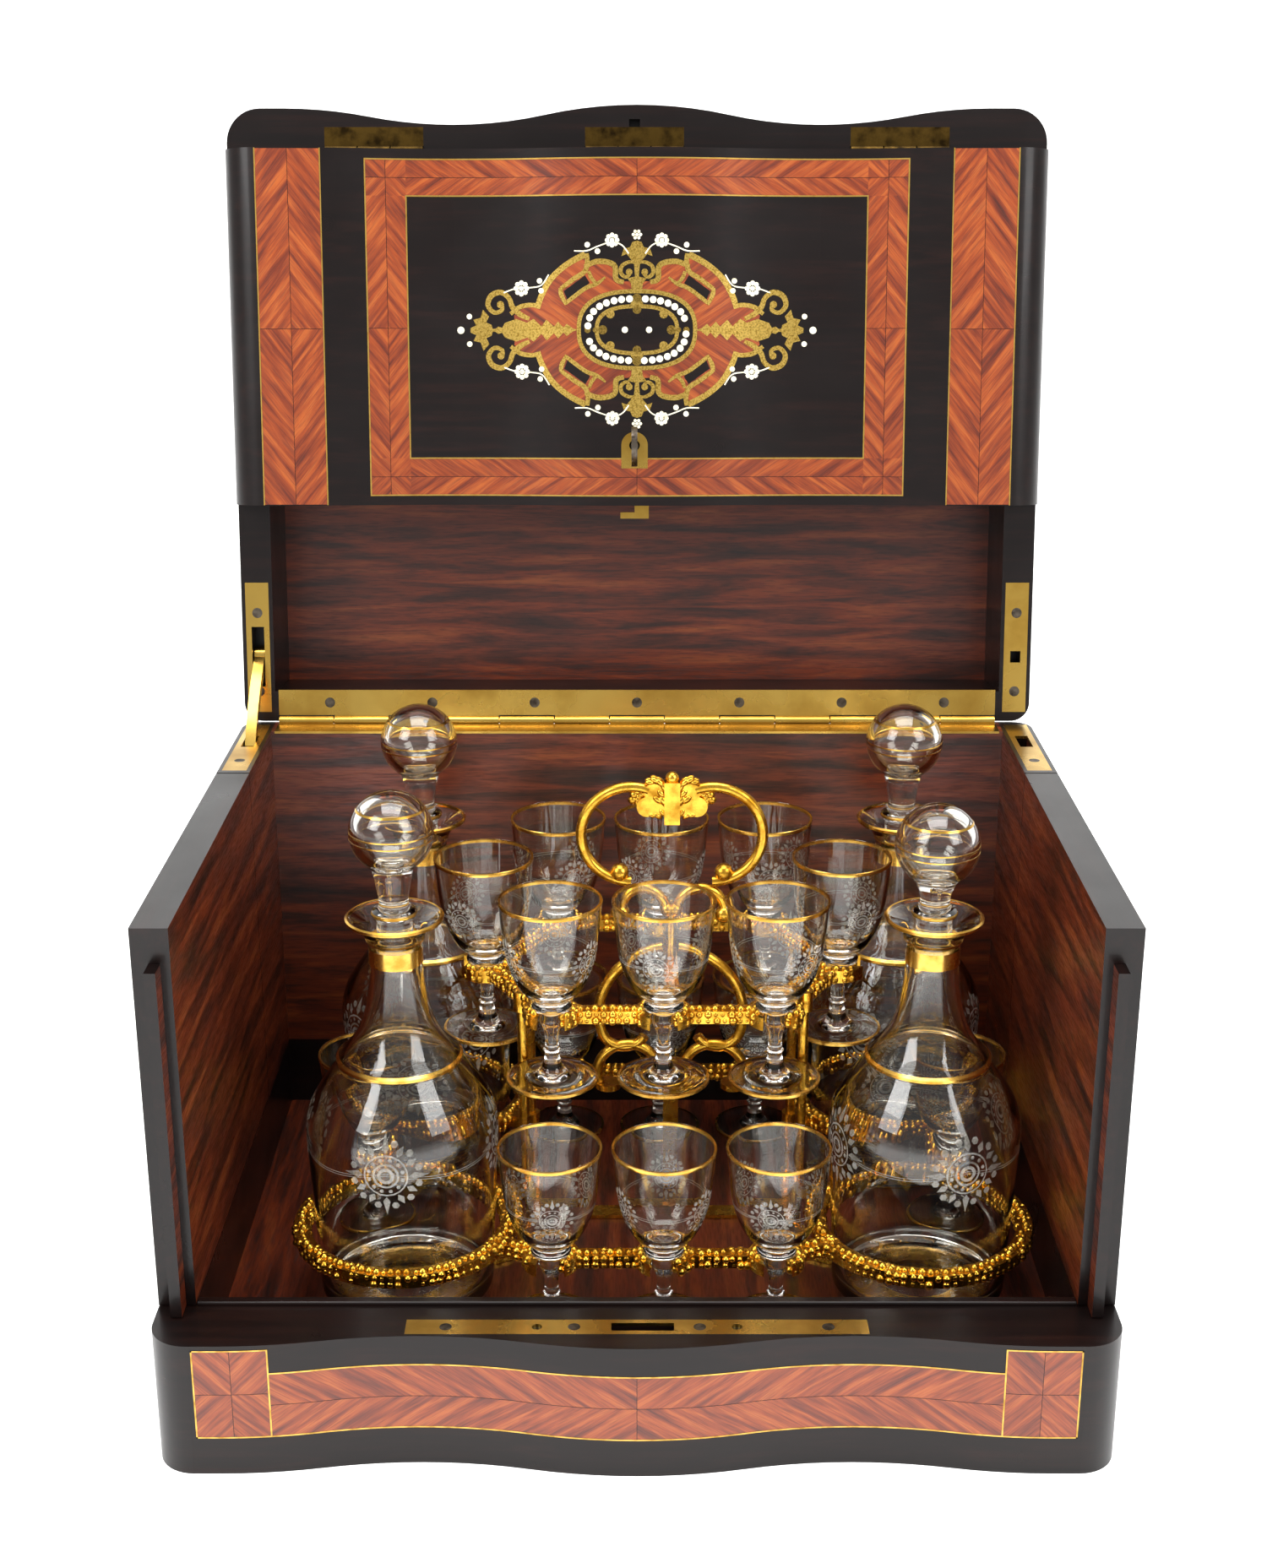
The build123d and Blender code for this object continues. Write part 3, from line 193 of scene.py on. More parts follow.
def ebonise(tree, shader, along):
    """Black stained, French polished pear wood with its grain along X, Y or Z."""
    stretch = {"X": (0.05, 1, 1), "Y": (1, 0.05, 1), "Z": (1, 1, 0.05)}[along]
    scale = tuple(0.12 / PORE * s for s in stretch)
    grain = add(tree, "ShaderNodeTexNoise", {
        "Vector": mapped(tree, "Object", scale), "Scale": 1.0, "Detail": 6.0, "Roughness": 0.65})
    colour = ramp(tree, grain.outputs["Fac"],
                  [(0.0, "060404"), (0.5, "100807"), (0.72, "1d0e0b"), (1.0, "3a211a")])
    tree.links.new(colour, shader.inputs["Base Color"])
    smear = add(tree, "ShaderNodeTexNoise", {
        "Vector": mapped(tree, "Object", (1, 1, 1)), "Scale": 34.0, "Detail": 4.0})
    rough = grey_ramp(tree, smear.outputs["Fac"], [(0.3, 0.27), (0.75, 0.36)])
    tree.links.new(rough, shader.inputs["Roughness"])
    bump = add(tree, "ShaderNodeBump", {
        "Height": grain.outputs["Fac"], "Strength": 0.12, "Distance": 0.2 * MM})
    tree.links.new(bump.outputs["Normal"], shader.inputs["Normal"])
    shader.inputs["Specular IOR Level"].default_value = 0.28
    shader.inputs["Coat Weight"].default_value = 0.12
    shader.inputs["Coat Roughness"].default_value = 0.1


def ebonised_wood(name, along):
    """Ebonised wood all over."""
    material, tree, shader = new_material(name)
    ebonise(tree, shader, along)
    return material


black_wide = ebonised_wood("ebonised_pear_wide", "X")

# %% [markdown]
# The inside is rosewood: red brown with near black streaks that run the length of the
# board. Stretched noise draws the streaks, and a finer layer draws the open pores.

# %% Rosewood
STREAK = 6 * MM


def rosewood_on(tree, shader, along, lean=0.0):
    """Satin rosewood with streaks along X, Y or Z, leaning by an angle."""
    stretch = {"X": (0.09, 1, 1), "Y": (1, 0.09, 1), "Z": (1, 1, 0.09)}[along]
    broad = tuple(1 / STREAK * s for s in stretch)
    fine = tuple(9 / STREAK * s for s in stretch)
    turn = (lean, 0, 0)
    bands = add(tree, "ShaderNodeTexNoise", {
        "Vector": mapped(tree, "Object", broad, turn), "Scale": 1.0, "Detail": 5.0,
        "Roughness": 0.6, "Distortion": 0.5})
    pores = add(tree, "ShaderNodeTexNoise", {
        "Vector": mapped(tree, "Object", fine, turn), "Scale": 1.0, "Detail": 3.0})
    colour = ramp(tree, bands.outputs["Fac"],
                  [(0.3, "1a0904"), (0.42, "3f1607"), (0.56, "66260d"), (0.8, "8d481e")])
    pore_mask = grey_ramp(tree, pores.outputs["Fac"], [(0.36, 0.35), (0.52, 1.0)])
    mixed = add(tree, "ShaderNodeMix", {6: colour, 7: pore_mask, 0: 0.6},
                data_type="RGBA", blend_type="MULTIPLY")
    tree.links.new(mixed.outputs[2], shader.inputs["Base Color"])
    rough = grey_ramp(tree, pores.outputs["Fac"], [(0.3, 0.5), (0.6, 0.3)])
    tree.links.new(rough, shader.inputs["Roughness"])
    bump = add(tree, "ShaderNodeBump", {
        "Height": pores.outputs["Fac"], "Strength": 0.15, "Distance": 0.2 * MM})
    tree.links.new(bump.outputs["Normal"], shader.inputs["Normal"])
    shader.inputs["Coat Weight"].default_value = 0.2
    shader.inputs["Coat Roughness"].default_value = 0.2


def rosewood(name, along):
    """Rosewood all over."""
    material, tree, shader = new_material(name)
    rosewood_on(tree, shader, along)
    return material


def lined_wood(name, lean, axis, sign):
    """Ebonised wood whose faces towards one side of an axis are veneered with rosewood."""
    material, tree, shader = new_material(name)
    ebonise(tree, shader, "Y")
    veneer = add(tree, "ShaderNodeBsdfPrincipled")
    rosewood_on(tree, veneer, "Y", lean)
    normal = add(tree, "ShaderNodeTexCoord").outputs["Normal"]
    part = add(tree, "ShaderNodeSeparateXYZ", {"Vector": normal}).outputs[axis]
    facing = add(tree, "ShaderNodeMath", {0: part, 1: sign}, operation="MULTIPLY").outputs[0]
    inside = add(tree, "ShaderNodeMath", {0: facing, 1: 0.7}, operation="GREATER_THAN").outputs[0]
    both = add(tree, "ShaderNodeMixShader", {0: inside, 1: shader.outputs[0], 2: veneer.outputs[0]})
    out = next(node for node in tree.nodes if node.type == "OUTPUT_MATERIAL")
    tree.links.new(both.outputs[0], out.inputs["Surface"])
    return material


rosewood_wide = rosewood("rosewood_wide", "X")
rosewood_deep = rosewood("rosewood_deep", "Y")
SIDE_LEAN = math.radians(38)
lined_left = lined_wood("lined_left_side", SIDE_LEAN, "X", 1.0)
lined_right = lined_wood("lined_right_side", -SIDE_LEAN, "X", -1.0)

# %% [markdown]
# The cross banding is kingwood, laid as feathered pairs. Its grain follows each piece's
# own UV map, so neighbouring pieces meet at an angle as the real veneers do.

# %% Kingwood veneer
FIGURE = 2.4 * MM


def kingwood():
    """Orange brown, close striped veneer, waxed."""
    material, tree, shader = new_material("kingwood_veneer")
    broad = add(tree, "ShaderNodeTexNoise", {
        "Vector": mapped(tree, "UV", (0.06 / FIGURE, 0.8 / FIGURE, 1)), "Scale": 1.0,
        "Detail": 5.0, "Roughness": 0.62, "Distortion": 0.25})
    fine = add(tree, "ShaderNodeTexNoise", {
        "Vector": mapped(tree, "UV", (0.2 / FIGURE, 6 / FIGURE, 1)), "Scale": 1.0, "Detail": 3.0})
    colour = ramp(tree, broad.outputs["Fac"], [
        (0.25, "3a1107"), (0.4, "6e280d"), (0.52, "8f3c13"), (0.64, "a9541f"), (0.8, "752e12")])
    lines = grey_ramp(tree, fine.outputs["Fac"], [(0.36, 0.45), (0.52, 1.0)])
    mixed = add(tree, "ShaderNodeMix", {6: colour, 7: lines, 0: 0.6},
                data_type="RGBA", blend_type="MULTIPLY")
    tree.links.new(mixed.outputs[2], shader.inputs["Base Color"])
    rough = grey_ramp(tree, fine.outputs["Fac"], [(0.3, 0.42), (0.6, 0.28)])
    tree.links.new(rough, shader.inputs["Roughness"])
    shader.inputs["Coat Weight"].default_value = 0.35
    shader.inputs["Coat Roughness"].default_value = 0.14
    return material


kingwood_veneer = kingwood()

# %% [markdown]
# The fittings are rolled sheet brass, rubbed and lacquered, with dark patches. The rack is
# cast bronze, fire gilded, so it is yellower and brighter. The inlay, the gold on the
# glass, the tarnished hinges and the steel are the same recipe with other values.

# %% Brass, gilt bronze and steel
def metal(name, dark, light, rough_low, rough_high, grain, bump_depth):
    """A metal whose colour and roughness drift over a grain size."""
    material, tree, shader = new_material(name)
    drift = add(tree, "ShaderNodeTexNoise", {
        "Vector": mapped(tree, "Object", (1, 1, 1)), "Scale": 1 / grain, "Detail": 5.0})
    tree.links.new(ramp(tree, drift.outputs["Fac"], [(0.3, dark), (0.62, light)]),
                   shader.inputs["Base Color"])
    rough = grey_ramp(tree, drift.outputs["Fac"], [(0.35, rough_high), (0.65, rough_low)])
    tree.links.new(rough, shader.inputs["Roughness"])
    bump = add(tree, "ShaderNodeBump", {
        "Height": drift.outputs["Fac"], "Strength": 0.25, "Distance": bump_depth})
    tree.links.new(bump.outputs["Normal"], shader.inputs["Normal"])
    shader.inputs["Metallic"].default_value = 1.0
    return material


sheet_brass = metal("lacquered_sheet_brass", "a98336", "dcb55a", 0.2, 0.34, 26 * MM, 0.03 * MM)
inlay_brass = metal("inlaid_brass", "a8813a", "d8b25c", 0.3, 0.45, 4 * MM, 0.03 * MM)
cut_brass = metal("engraved_brass", "7d5f1c", "e3bf63", 0.3, 0.45, 0.7 * MM, 0.03 * MM)
gilt_bronze = metal("fire_gilt_bronze", "a8741a", "f0bb45", 0.16, 0.34, 5 * MM, 0.15 * MM)
gold_paint = metal("fired_gold", "b9832c", "e8bc5c", 0.18, 0.3, 6 * MM, 0.02 * MM)
dull_brass = metal("tarnished_brass", "241a0b", "57421c", 0.4, 0.55, 5 * MM, 0.03 * MM)
old_steel = metal("browned_steel", "2b241f", "6c6358", 0.35, 0.5, 3 * MM, 0.05 * MM)


# %% [markdown]
# The glass is clear, thin and blown. Its engraving is matt, so it scatters white light.
# The bone of the inlay is a plain polished surface with faint clouds.

# %% Glass, engraving and bone
def clear_glass():
    """Clear blown glass with a faint warm grey body."""
    material, tree, shader = new_material("clear_blown_glass")
    ripple = add(tree, "ShaderNodeTexNoise", {
        "Vector": mapped(tree, "Object", (1, 1, 1)), "Scale": 1 / (14 * MM), "Detail": 1.0})
    bump = add(tree, "ShaderNodeBump", {
        "Height": ripple.outputs["Fac"], "Strength": 0.04, "Distance": 0.3 * MM})
    tree.links.new(bump.outputs["Normal"], shader.inputs["Normal"])
    shader.inputs["Base Color"].default_value = linear("fbfaf6")
    shader.inputs["Roughness"].default_value = 0.0
    shader.inputs["IOR"].default_value = 1.5
    shader.inputs["Transmission Weight"].default_value = 1.0
    return material


glass_clear = clear_glass()


def wheel_cut():
    """Matt engraving: white, rough, and partly see-through."""
    material, tree, shader = new_material("wheel_engraving")
    speck = add(tree, "ShaderNodeTexNoise", {
        "Vector": mapped(tree, "Object", (1, 1, 1)), "Scale": 1 / (0.8 * MM), "Detail": 2.0})
    tree.links.new(ramp(tree, speck.outputs["Fac"], [(0.3, "b9b4a8"), (0.7, "f2efe8")]),
                   shader.inputs["Base Color"])
    shader.inputs["Roughness"].default_value = 0.6
    shader.inputs["Alpha"].default_value = 0.42
    return material


engraving = wheel_cut()


def bone():
    """Polished bone or pearl: cream, with faint cloudy patches."""
    material, tree, shader = new_material("bone_inlay")
    cloud = add(tree, "ShaderNodeTexNoise", {
        "Vector": mapped(tree, "Object", (1, 1, 1)), "Scale": 1 / (1.5 * MM), "Detail": 3.0})
    tree.links.new(ramp(tree, cloud.outputs["Fac"], [(0.3, "d8cfae"), (0.7, "fbf6e2")]),
                   shader.inputs["Base Color"])
    shader.inputs["Roughness"].default_value = 0.3
    return material


bone_inlay = bone()

# %% [markdown]
# Every CAD node gets the finish of the real piece. The glasses, decanters and stoppers are
# replaced by thin blown ones further on. The other nodes show as they are.

# %% Finishes of the CAD nodes
finishes = {
    black_wide: ["base_box", "front_bead", "lid_box", "front_panel"],
    lined_left: ["corner_block_left", "wing_left"],
    lined_right: ["corner_block_right", "wing_right"],
    rosewood_wide: ["back_board", "lid_lining"],
    rosewood_deep: ["base_floor"],
    sheet_brass: ["strike_plate", "body_plates", "lid_plates", "lid_hinge_fixed",
                  "lid_hinge_leaf", "wing_hinge_left", "wing_hinge_right", "wing_leaf_left",
                  "wing_leaf_right", "escutcheon", "stay_arm", "lock_hook"],
    dull_brass: ["panel_hinge_fixed", "panel_hinge_leaf"],
    old_steel: ["body_screws", "lid_screws", "stay_pin", "lock_case", "key"],
    gilt_bronze: frame["record"]["behaviour"]["bodies"]["rack"],
    glass_clear: [name for name in nodes if name.startswith(("glass_", "decanter_", "stopper_"))],
}
for material, names in finishes.items():
    for name in names:
        mesh = nodes[name].data
        mesh.materials.clear()
        mesh.materials.append(material)
print("finished nodes", sum(len(names) for names in finishes.values()))


# %% [markdown]
# One function turns a bmesh into a finished piece: it smooths it, keeps hard edges
# hard, gives it its material and lets it ride on its body.

# %% Finishing a piece
def finish_piece(name, bm, material, body, matrix=in_place, stands_for=(), sharp=40):
    """Make an object of a bmesh, in place, with its finish and its body."""
    bmesh.ops.transform(bm, matrix=matrix, verts=bm.verts)
    mesh = bpy.data.meshes.new(name)
    bm.to_mesh(mesh)
    bm.free()
    mesh.materials.append(material)
    mesh.polygons.foreach_set("use_smooth", [True] * len(mesh.polygons))
    mesh.set_sharp_from_angle(angle=math.radians(sharp))
    piece = bpy.data.objects.new(name, mesh)
    bpy.context.scene.collection.objects.link(piece)
    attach(piece, body)
    if stands_for:
        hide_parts(*stands_for)


def smooth_line(points, steps=5):
    """Catmull-Rom points through given ones, for a soft profile."""
    line = []
    for index in range(len(points) - 1):
        before = Vector(points[max(index - 1, 0)])
        start, end = Vector(points[index]), Vector(points[index + 1])
        after = Vector(points[min(index + 2, len(points) - 1)])
        for step in range(steps):
            t = step / steps
            line.append(0.5 * (2 * start + (end - before) * t
                               + (2 * before - 5 * start + 4 * end - after) * t**2
                               + (3 * start - before - 3 * end + after) * t**3))
    line.append(Vector(points[-1]))
    return line


POLE_MERGE = 0.002 * MM


def spin_profile(bm, profile, centre, steps):
    """Turn a profile of (radius, height) in millimetres about an upright axis."""
    ring = [bm.verts.new((centre[0] + max(r, 0) * MM, centre[1], centre[2] + z * MM))
            for r, z in profile]
    edges = [bm.edges.new(pair) for pair in zip(ring, ring[1:])]
    bmesh.ops.spin(bm, geom=ring + edges, cent=centre, axis=(0, 0, 1), dvec=(0, 0, 0),
                   angle=2 * math.pi, steps=steps, use_merge=True, use_duplicate=False)
    bmesh.ops.remove_doubles(bm, verts=bm.verts[:], dist=POLE_MERGE)


# %% [markdown]
# A cordial glass is blown and turned: a thin foot, a stem that swells under the bowl, a
# cut collar that hangs in the rack, and a thin bowl. One spun profile gives the glass, and
# two short bands spun the same way give the gold on its rim and foot.

# %% Cordial glasses
GLASS_OUTSIDE = [(0, 0.9), (9, 0.7), (14, 0.2), (16.9, 0), (17.3, 0.4), (17.1, 1.0), (14, 1.6),
                 (9, 2.4), (5.6, 3.6), (3.9, 5.6), (3.0, 9), (2.8, 11.4), (3.4, 12.2),
                 (2.8, 13), (2.6, 16), (2.9, 19.5), (3.9, 22.5), (4.8, 24.6), (4.7, 26.2),
                 (4.1, 27.6), (4.3, 28.6)]
GLASS_COLLAR = [(4.4, 29.3), (7.0, 29.45), (7.6, 30.0), (7.6, 31.0), (7.0, 31.5)]
GLASS_BOWL = [(6.7, 32.2), (7.6, 33.4), (9.9, 35.6), (12.6, 39.2), (14.9, 44.2), (16.6, 50),
              (17.8, 57), (18.6, 65), (19.25, 72.6), (19.05, 73.0), (18.5, 72.8)]
GLASS_INSIDE = [(18.5, 72.8), (17.8, 65), (16.9, 57), (15.6, 50), (13.8, 44.4), (11.2, 39.8),
                (8.0, 36.8), (4, 35.4), (0, 35)]
GLASS_STEPS = 56
RIM_GOLD = [(18.3, 72.1), (18.45, 73.05), (19.2, 73.15), (19.42, 72.6), (19.3, 71.7)]
FOOT_GOLD = [(16.6, -0.02), (17.42, 0.1), (17.36, 1.1), (16.4, 1.35)]


def node_centre(name):
    """Centre of a node's box in plan, at the height of its underside."""
    low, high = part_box(name)
    return Vector(((low.x + high.x) / 2, (low.y + high.y) / 2, low.z))


glass_names = sorted(name for name in nodes if name.startswith("glass_"))
glass_profile = (smooth_line(GLASS_OUTSIDE, 3) + smooth_line(GLASS_COLLAR, 3)
                 + smooth_line(GLASS_BOWL, 4) + smooth_line(GLASS_INSIDE, 4)[1:])
for name in glass_names:
    centre = node_centre(name)
    bm = bmesh.new()
    spin_profile(bm, glass_profile, centre, GLASS_STEPS)
    bmesh.ops.recalc_face_normals(bm, faces=bm.faces[:])
    finish_piece(f"blown_{name}", bm, glass_clear, name, stands_for=[name])
    bm = bmesh.new()
    for band in (RIM_GOLD, FOOT_GOLD):
        spin_profile(bm, band, centre, GLASS_STEPS)
    bmesh.ops.recalc_face_normals(bm, faces=bm.faces[:])
    finish_piece(f"gilding_{name}", bm, gold_paint, name)
print("glasses", len(glass_names))

# %% [markdown]
# A decanter has a slightly flared drum, a round shoulder, a raised ring, a concave neck
# and a flared lip. Its stopper is a hollow ball on a pear shaped neck.

# %% Decanters and stoppers
DECANTER_OUTSIDE = [(0, 2.6), (18, 2.2), (27, 0.8), (31, 0), (32.6, 0.9), (33.2, 4), (33.8, 18),
                    (34.9, 42), (35.8, 60), (36, 66), (35.6, 72), (33.6, 78.5), (30, 84.8),
                    (26, 90.5), (23.2, 94.4)]
DECANTER_RING = [(22.6, 95.4), (23.4, 96.0), (23.4, 96.8), (22.4, 97.6)]
DECANTER_NECK = [(20.6, 99.6), (17.2, 103.6), (14.4, 108.8), (12.2, 115.4), (10.8, 123),
                 (9.9, 131), (9.7, 137), (10.3, 142.5), (12.4, 147), (15.8, 150),
                 (17.8, 151.1), (18, 152), (17.2, 152.4)]
DECANTER_INSIDE = [(17.2, 152.4), (13.6, 150.4), (10, 147.2), (8.2, 143), (7.7, 137),
                   (8.0, 131), (9.0, 123), (10.6, 115.4), (13.0, 108.4), (16, 103),
                   (20.4, 97.4), (25, 91), (29, 84.6), (32, 78), (33.8, 71), (34, 65),
                   (33.4, 50), (32.4, 25), (31.6, 9), (29.6, 5), (22, 4.2), (0, 4.6)]
DECANTER_STEPS = 80
decanter_profile = (smooth_line(DECANTER_OUTSIDE, 4) + smooth_line(DECANTER_RING, 3)
                    + smooth_line(DECANTER_NECK, 4) + smooth_line(DECANTER_INSIDE, 4)[1:])
LIP_GOLD = [(16.9, 152.35), (17.4, 152.55), (18.15, 152.1), (17.95, 151.0), (17.0, 150.6)]
SHOULDER_GOLD = [(22.6, 95.2), (23.55, 95.8), (23.55, 96.9), (22.5, 97.7)]
NECK_GOLD = [(9.85, 134.4), (10.02, 134.2), (9.98, 139.2), (10.0, 140.6), (9.8, 140.2)]
NECK_LINE = [(10.5, 142.9), (10.75, 143.2), (10.95, 143.9), (10.7, 143.9)]
decanter_names = sorted(name for name in nodes if name.startswith("decanter_"))
for name in decanter_names:
    centre = node_centre(name)
    bm = bmesh.new()
    spin_profile(bm, decanter_profile, centre, DECANTER_STEPS)
    bmesh.ops.recalc_face_normals(bm, faces=bm.faces[:])
    finish_piece(f"blown_{name}", bm, glass_clear, name, stands_for=[name])
    bm = bmesh.new()
    for band in (LIP_GOLD, SHOULDER_GOLD, NECK_GOLD, NECK_LINE):
        spin_profile(bm, band, centre, DECANTER_STEPS)
    bmesh.ops.recalc_face_normals(bm, faces=bm.faces[:])
    finish_piece(f"gilding_{name}", bm, gold_paint, name)

BALL, BALL_HOLLOW = 15.4, 12.6
BALL_START = math.radians(-52)
PLUG = 16.0
stopper_names = sorted(name for name in nodes if name.startswith("stopper_"))
for name in stopper_names:
    low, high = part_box(name)
    centre = Vector(((low.x + high.x) / 2, (low.y + high.y) / 2, low.z + PLUG * MM))
    ball_z = (high.z - centre.z) / MM - BALL
    neck = [(0, -PLUG), (5.8, -PLUG), (6.2, -PLUG + 0.6), (6.6, -8), (6.8, -0.2), (8.2, 0.1),
            (8.4, 0.8), (8.2, 1.7), (6.4, 2.4), (5.6, 4.2), (5.5, 6.6), (6.0, 9.2)]
    sweep = math.pi / 2 - BALL_START
    ball = [(BALL * math.cos(BALL_START + sweep * i / 14),
             ball_z + BALL * math.sin(BALL_START + sweep * i / 14)) for i in range(15)]
    outside = smooth_line(neck + [(7.6, ball_z - 14.2)] + ball, 3)
    bm = bmesh.new()
    spin_profile(bm, outside, centre, DECANTER_STEPS)
    hollow = [(BALL_HOLLOW * math.sin(math.pi * i / 16),
               ball_z - BALL_HOLLOW * math.cos(math.pi * i / 16)) for i in range(17)]
    bmesh.ops.recalc_face_normals(bm, faces=bm.faces[:])
    inner = bmesh.new()
    spin_profile(inner, hollow, centre, DECANTER_STEPS)
    bmesh.ops.recalc_face_normals(inner, faces=inner.faces[:])
    bmesh.ops.reverse_faces(inner, faces=inner.faces[:])
    hollow_mesh = bpy.data.meshes.new("hollow")
    inner.to_mesh(hollow_mesh)
    inner.free()
    bm.from_mesh(hollow_mesh)
    bpy.data.meshes.remove(hollow_mesh)
    finish_piece(f"blown_{name}", bm, glass_clear, name, stands_for=[name])
    bm = bmesh.new()
    for height, width in ((9.6, 0.7), (1.2, 0.5), (-1.4, 0.5)):
        radius = math.sqrt(BALL**2 - height**2) + 0.1
        low_radius = math.sqrt(BALL**2 - (height - width) ** 2) + 0.1
        band = [(radius - 0.3, ball_z + height), (radius, ball_z + height),
                (low_radius, ball_z + height - width), (low_radius - 0.3, ball_z + height - width)]
        spin_profile(bm, band, centre, DECANTER_STEPS)
    spin_profile(bm, [(8.1, 0.3), (8.5, 0.6), (8.5, 1.2), (8.1, 1.6)], centre, DECANTER_STEPS)
    bmesh.ops.recalc_face_normals(bm, faces=bm.faces[:])
    finish_piece(f"gilding_{name}", bm, gold_paint, name)
print("decanters", len(decanter_names), "stoppers", len(stopper_names))

# %% [markdown]
# The marquetry is drawn flat in millimetres, then cut every few millimetres and bent on
# to the serpentine front. Each veneer keeps its own grain direction in its UV map.

# %% Laying inlay on the serpentine front
BEND = 6.0
SEAM = 0.09
VENEER, EBONY, BRASS, BONE = 0.06, 0.1, 0.14, 0.18


def inlay(bm, outline, lift, grain=0.0):
    """Lay a flat outline of (x, z) just in front of the wood, with its grain in its UV."""
    uv = bm.loops.layers.uv.verify()
    face = bm.faces.new([bm.verts.new((x * MM, -lift * MM, z * MM)) for x, z in outline])
    cosine, sine = math.cos(grain), math.sin(grain)
    for loop in face.loops:
        x, z = loop.vert.co.x, loop.vert.co.z
        loop[uv].uv = (x * cosine + z * sine, z * cosine - x * sine)
    face.normal_update()
    if face.normal.y > 0:
        face.normal_flip()


def inlay_ring(bm, outer, inner, lift):
    """Lay a closed band between two outlines with as many points each."""
    count = len(outer)
    for i in range(count):
        j = (i + 1) % count
        inlay(bm, [outer[i], outer[j], inner[j], inner[i]], lift)


def disc(bm, x, z, radius, lift, sides=12):
    """Lay a small disc."""
    inlay(bm, [(x + radius * math.cos(2 * math.pi * i / sides),
                z + radius * math.sin(2 * math.pi * i / sides)) for i in range(sides)], lift)


def stroke(bm, points, widths, lift):
    """Lay a ribbon along a soft line, with a width at each given point."""
    line = smooth_line([(x, z, w) for (x, z), w in zip(points, widths)], 4)
    sides = []
    for index, point in enumerate(line):
        ahead, behind = line[min(index + 1, len(line) - 1)], line[max(index - 1, 0)]
        run = (ahead - behind).to_2d().normalized()
        across = Vector((-run.y, run.x)) * point.z / 2
        sides.append((point.to_2d() + across, point.to_2d() - across))
    for (a, b), (c, d) in zip(sides, sides[1:]):
        inlay(bm, [a, c, d, b], lift)


def bend(bm):
    """Cut the flat inlay at even widths and push it on to the serpentine front."""
    bmesh.ops.triangulate(bm, faces=bm.faces[:])
    reach = max(abs(vert.co.x) for vert in bm.verts) / MM
    cuts = int(reach / BEND)
    for cut in range(-cuts, cuts + 1):
        bmesh.ops.bisect_plane(bm, geom=bm.verts[:] + bm.edges[:] + bm.faces[:], dist=1e-7,
                               plane_co=(cut * BEND * MM, 0, 0), plane_no=(1, 0, 0))
    for vert in bm.verts:
        vert.co.y += front_y(vert.co.x)


def quarters(bm, seams, x0, x1, z0, z1, grain):
    """Four veneers about a middle point, their grain feathered outwards, and their seams."""
    middle_x, middle_z = (x0 + x1) / 2, (z0 + z1) / 2
    for a, c, b, d in ((middle_x - SEAM, z0, middle_x + SEAM, z1),
                       (x0, middle_z - SEAM, x1, middle_z + SEAM)):
        inlay(seams, [(a, c), (b, c), (b, d), (a, d)], EBONY)
    for a, b, side in ((x0, middle_x, -1), (middle_x, x1, 1)):
        for c, d, end in ((z0, middle_z, -1), (middle_z, z1, 1)):
            inlay(bm, [(a, c), (b, c), (b, d), (a, d)], VENEER, side * end * grain)


def brass_line(bm, x0, z0, x1, z1, width=0.55):
    """A brass string along X or Z."""
    half = width / 2
    inlay(bm, [(x0 - half, z0 - half), (x1 + half, z0 - half),
               (x1 + half, z1 + half), (x0 - half, z1 + half)], BRASS)


def brass_frame(bm, x0, z0, x1, z1):
    """Brass strings around a rectangle."""
    for line in ((x0, z0, x1, z0), (x0, z1, x1, z1), (x0, z0, x0, z1), (x1, z0, x1, z1)):
        brass_line(bm, *line)


# %% [markdown]
# The panel has a feathered kingwood band on each side and a framed field in the middle,
# all edged with brass. The base has one feathered band between two quartered squares.

# %% Kingwood bands and brass strings
STEEP = math.radians(52)
LEVEL = math.radians(34)
PANEL_LOW, PANEL_HIGH = 52.9, 197.1
BAND_IN, BAND_OUT = 129.5, 156.0
FIELD_X, FIELD_LOW, FIELD_HIGH = 111.5, 56.6, 193.3
HOLE_X, HOLE_LOW, HOLE_HIGH = 95.0, 72.0, 178.7
wood, brass, seams = bmesh.new(), bmesh.new(), bmesh.new()
for side in (-1, 1):
    edges = sorted((side * BAND_IN, side * BAND_OUT))
    quarters(wood, seams, *edges, PANEL_LOW, PANEL_HIGH, -STEEP)
    for edge in edges:
        brass_line(brass, edge, PANEL_LOW, edge, PANEL_HIGH, 0.5)
    frame_side = sorted((side * HOLE_X, side * FIELD_X))
    quarters(wood, seams, *frame_side, HOLE_LOW, HOLE_HIGH, -STEEP)
    for low, high in ((FIELD_LOW, HOLE_LOW), (HOLE_HIGH, FIELD_HIGH)):
        quarters(wood, seams, *frame_side, low, high, math.radians(45))
for low, high in ((FIELD_LOW, HOLE_LOW), (HOLE_HIGH, FIELD_HIGH)):
    quarters(wood, seams, -HOLE_X, HOLE_X, low, high, LEVEL)
brass_frame(brass, -FIELD_X, FIELD_LOW, FIELD_X, FIELD_HIGH)
brass_frame(brass, -HOLE_X, HOLE_LOW, HOLE_X, HOLE_HIGH)
for bm in (wood, brass, seams):
    bend(bm)
finish_piece("panel_kingwood", wood, kingwood_veneer, "panel", to_panel)
finish_piece("panel_brass_strings", brass, inlay_brass, "panel", to_panel)
finish_piece("panel_seams", seams, black_wide, "panel", to_panel)

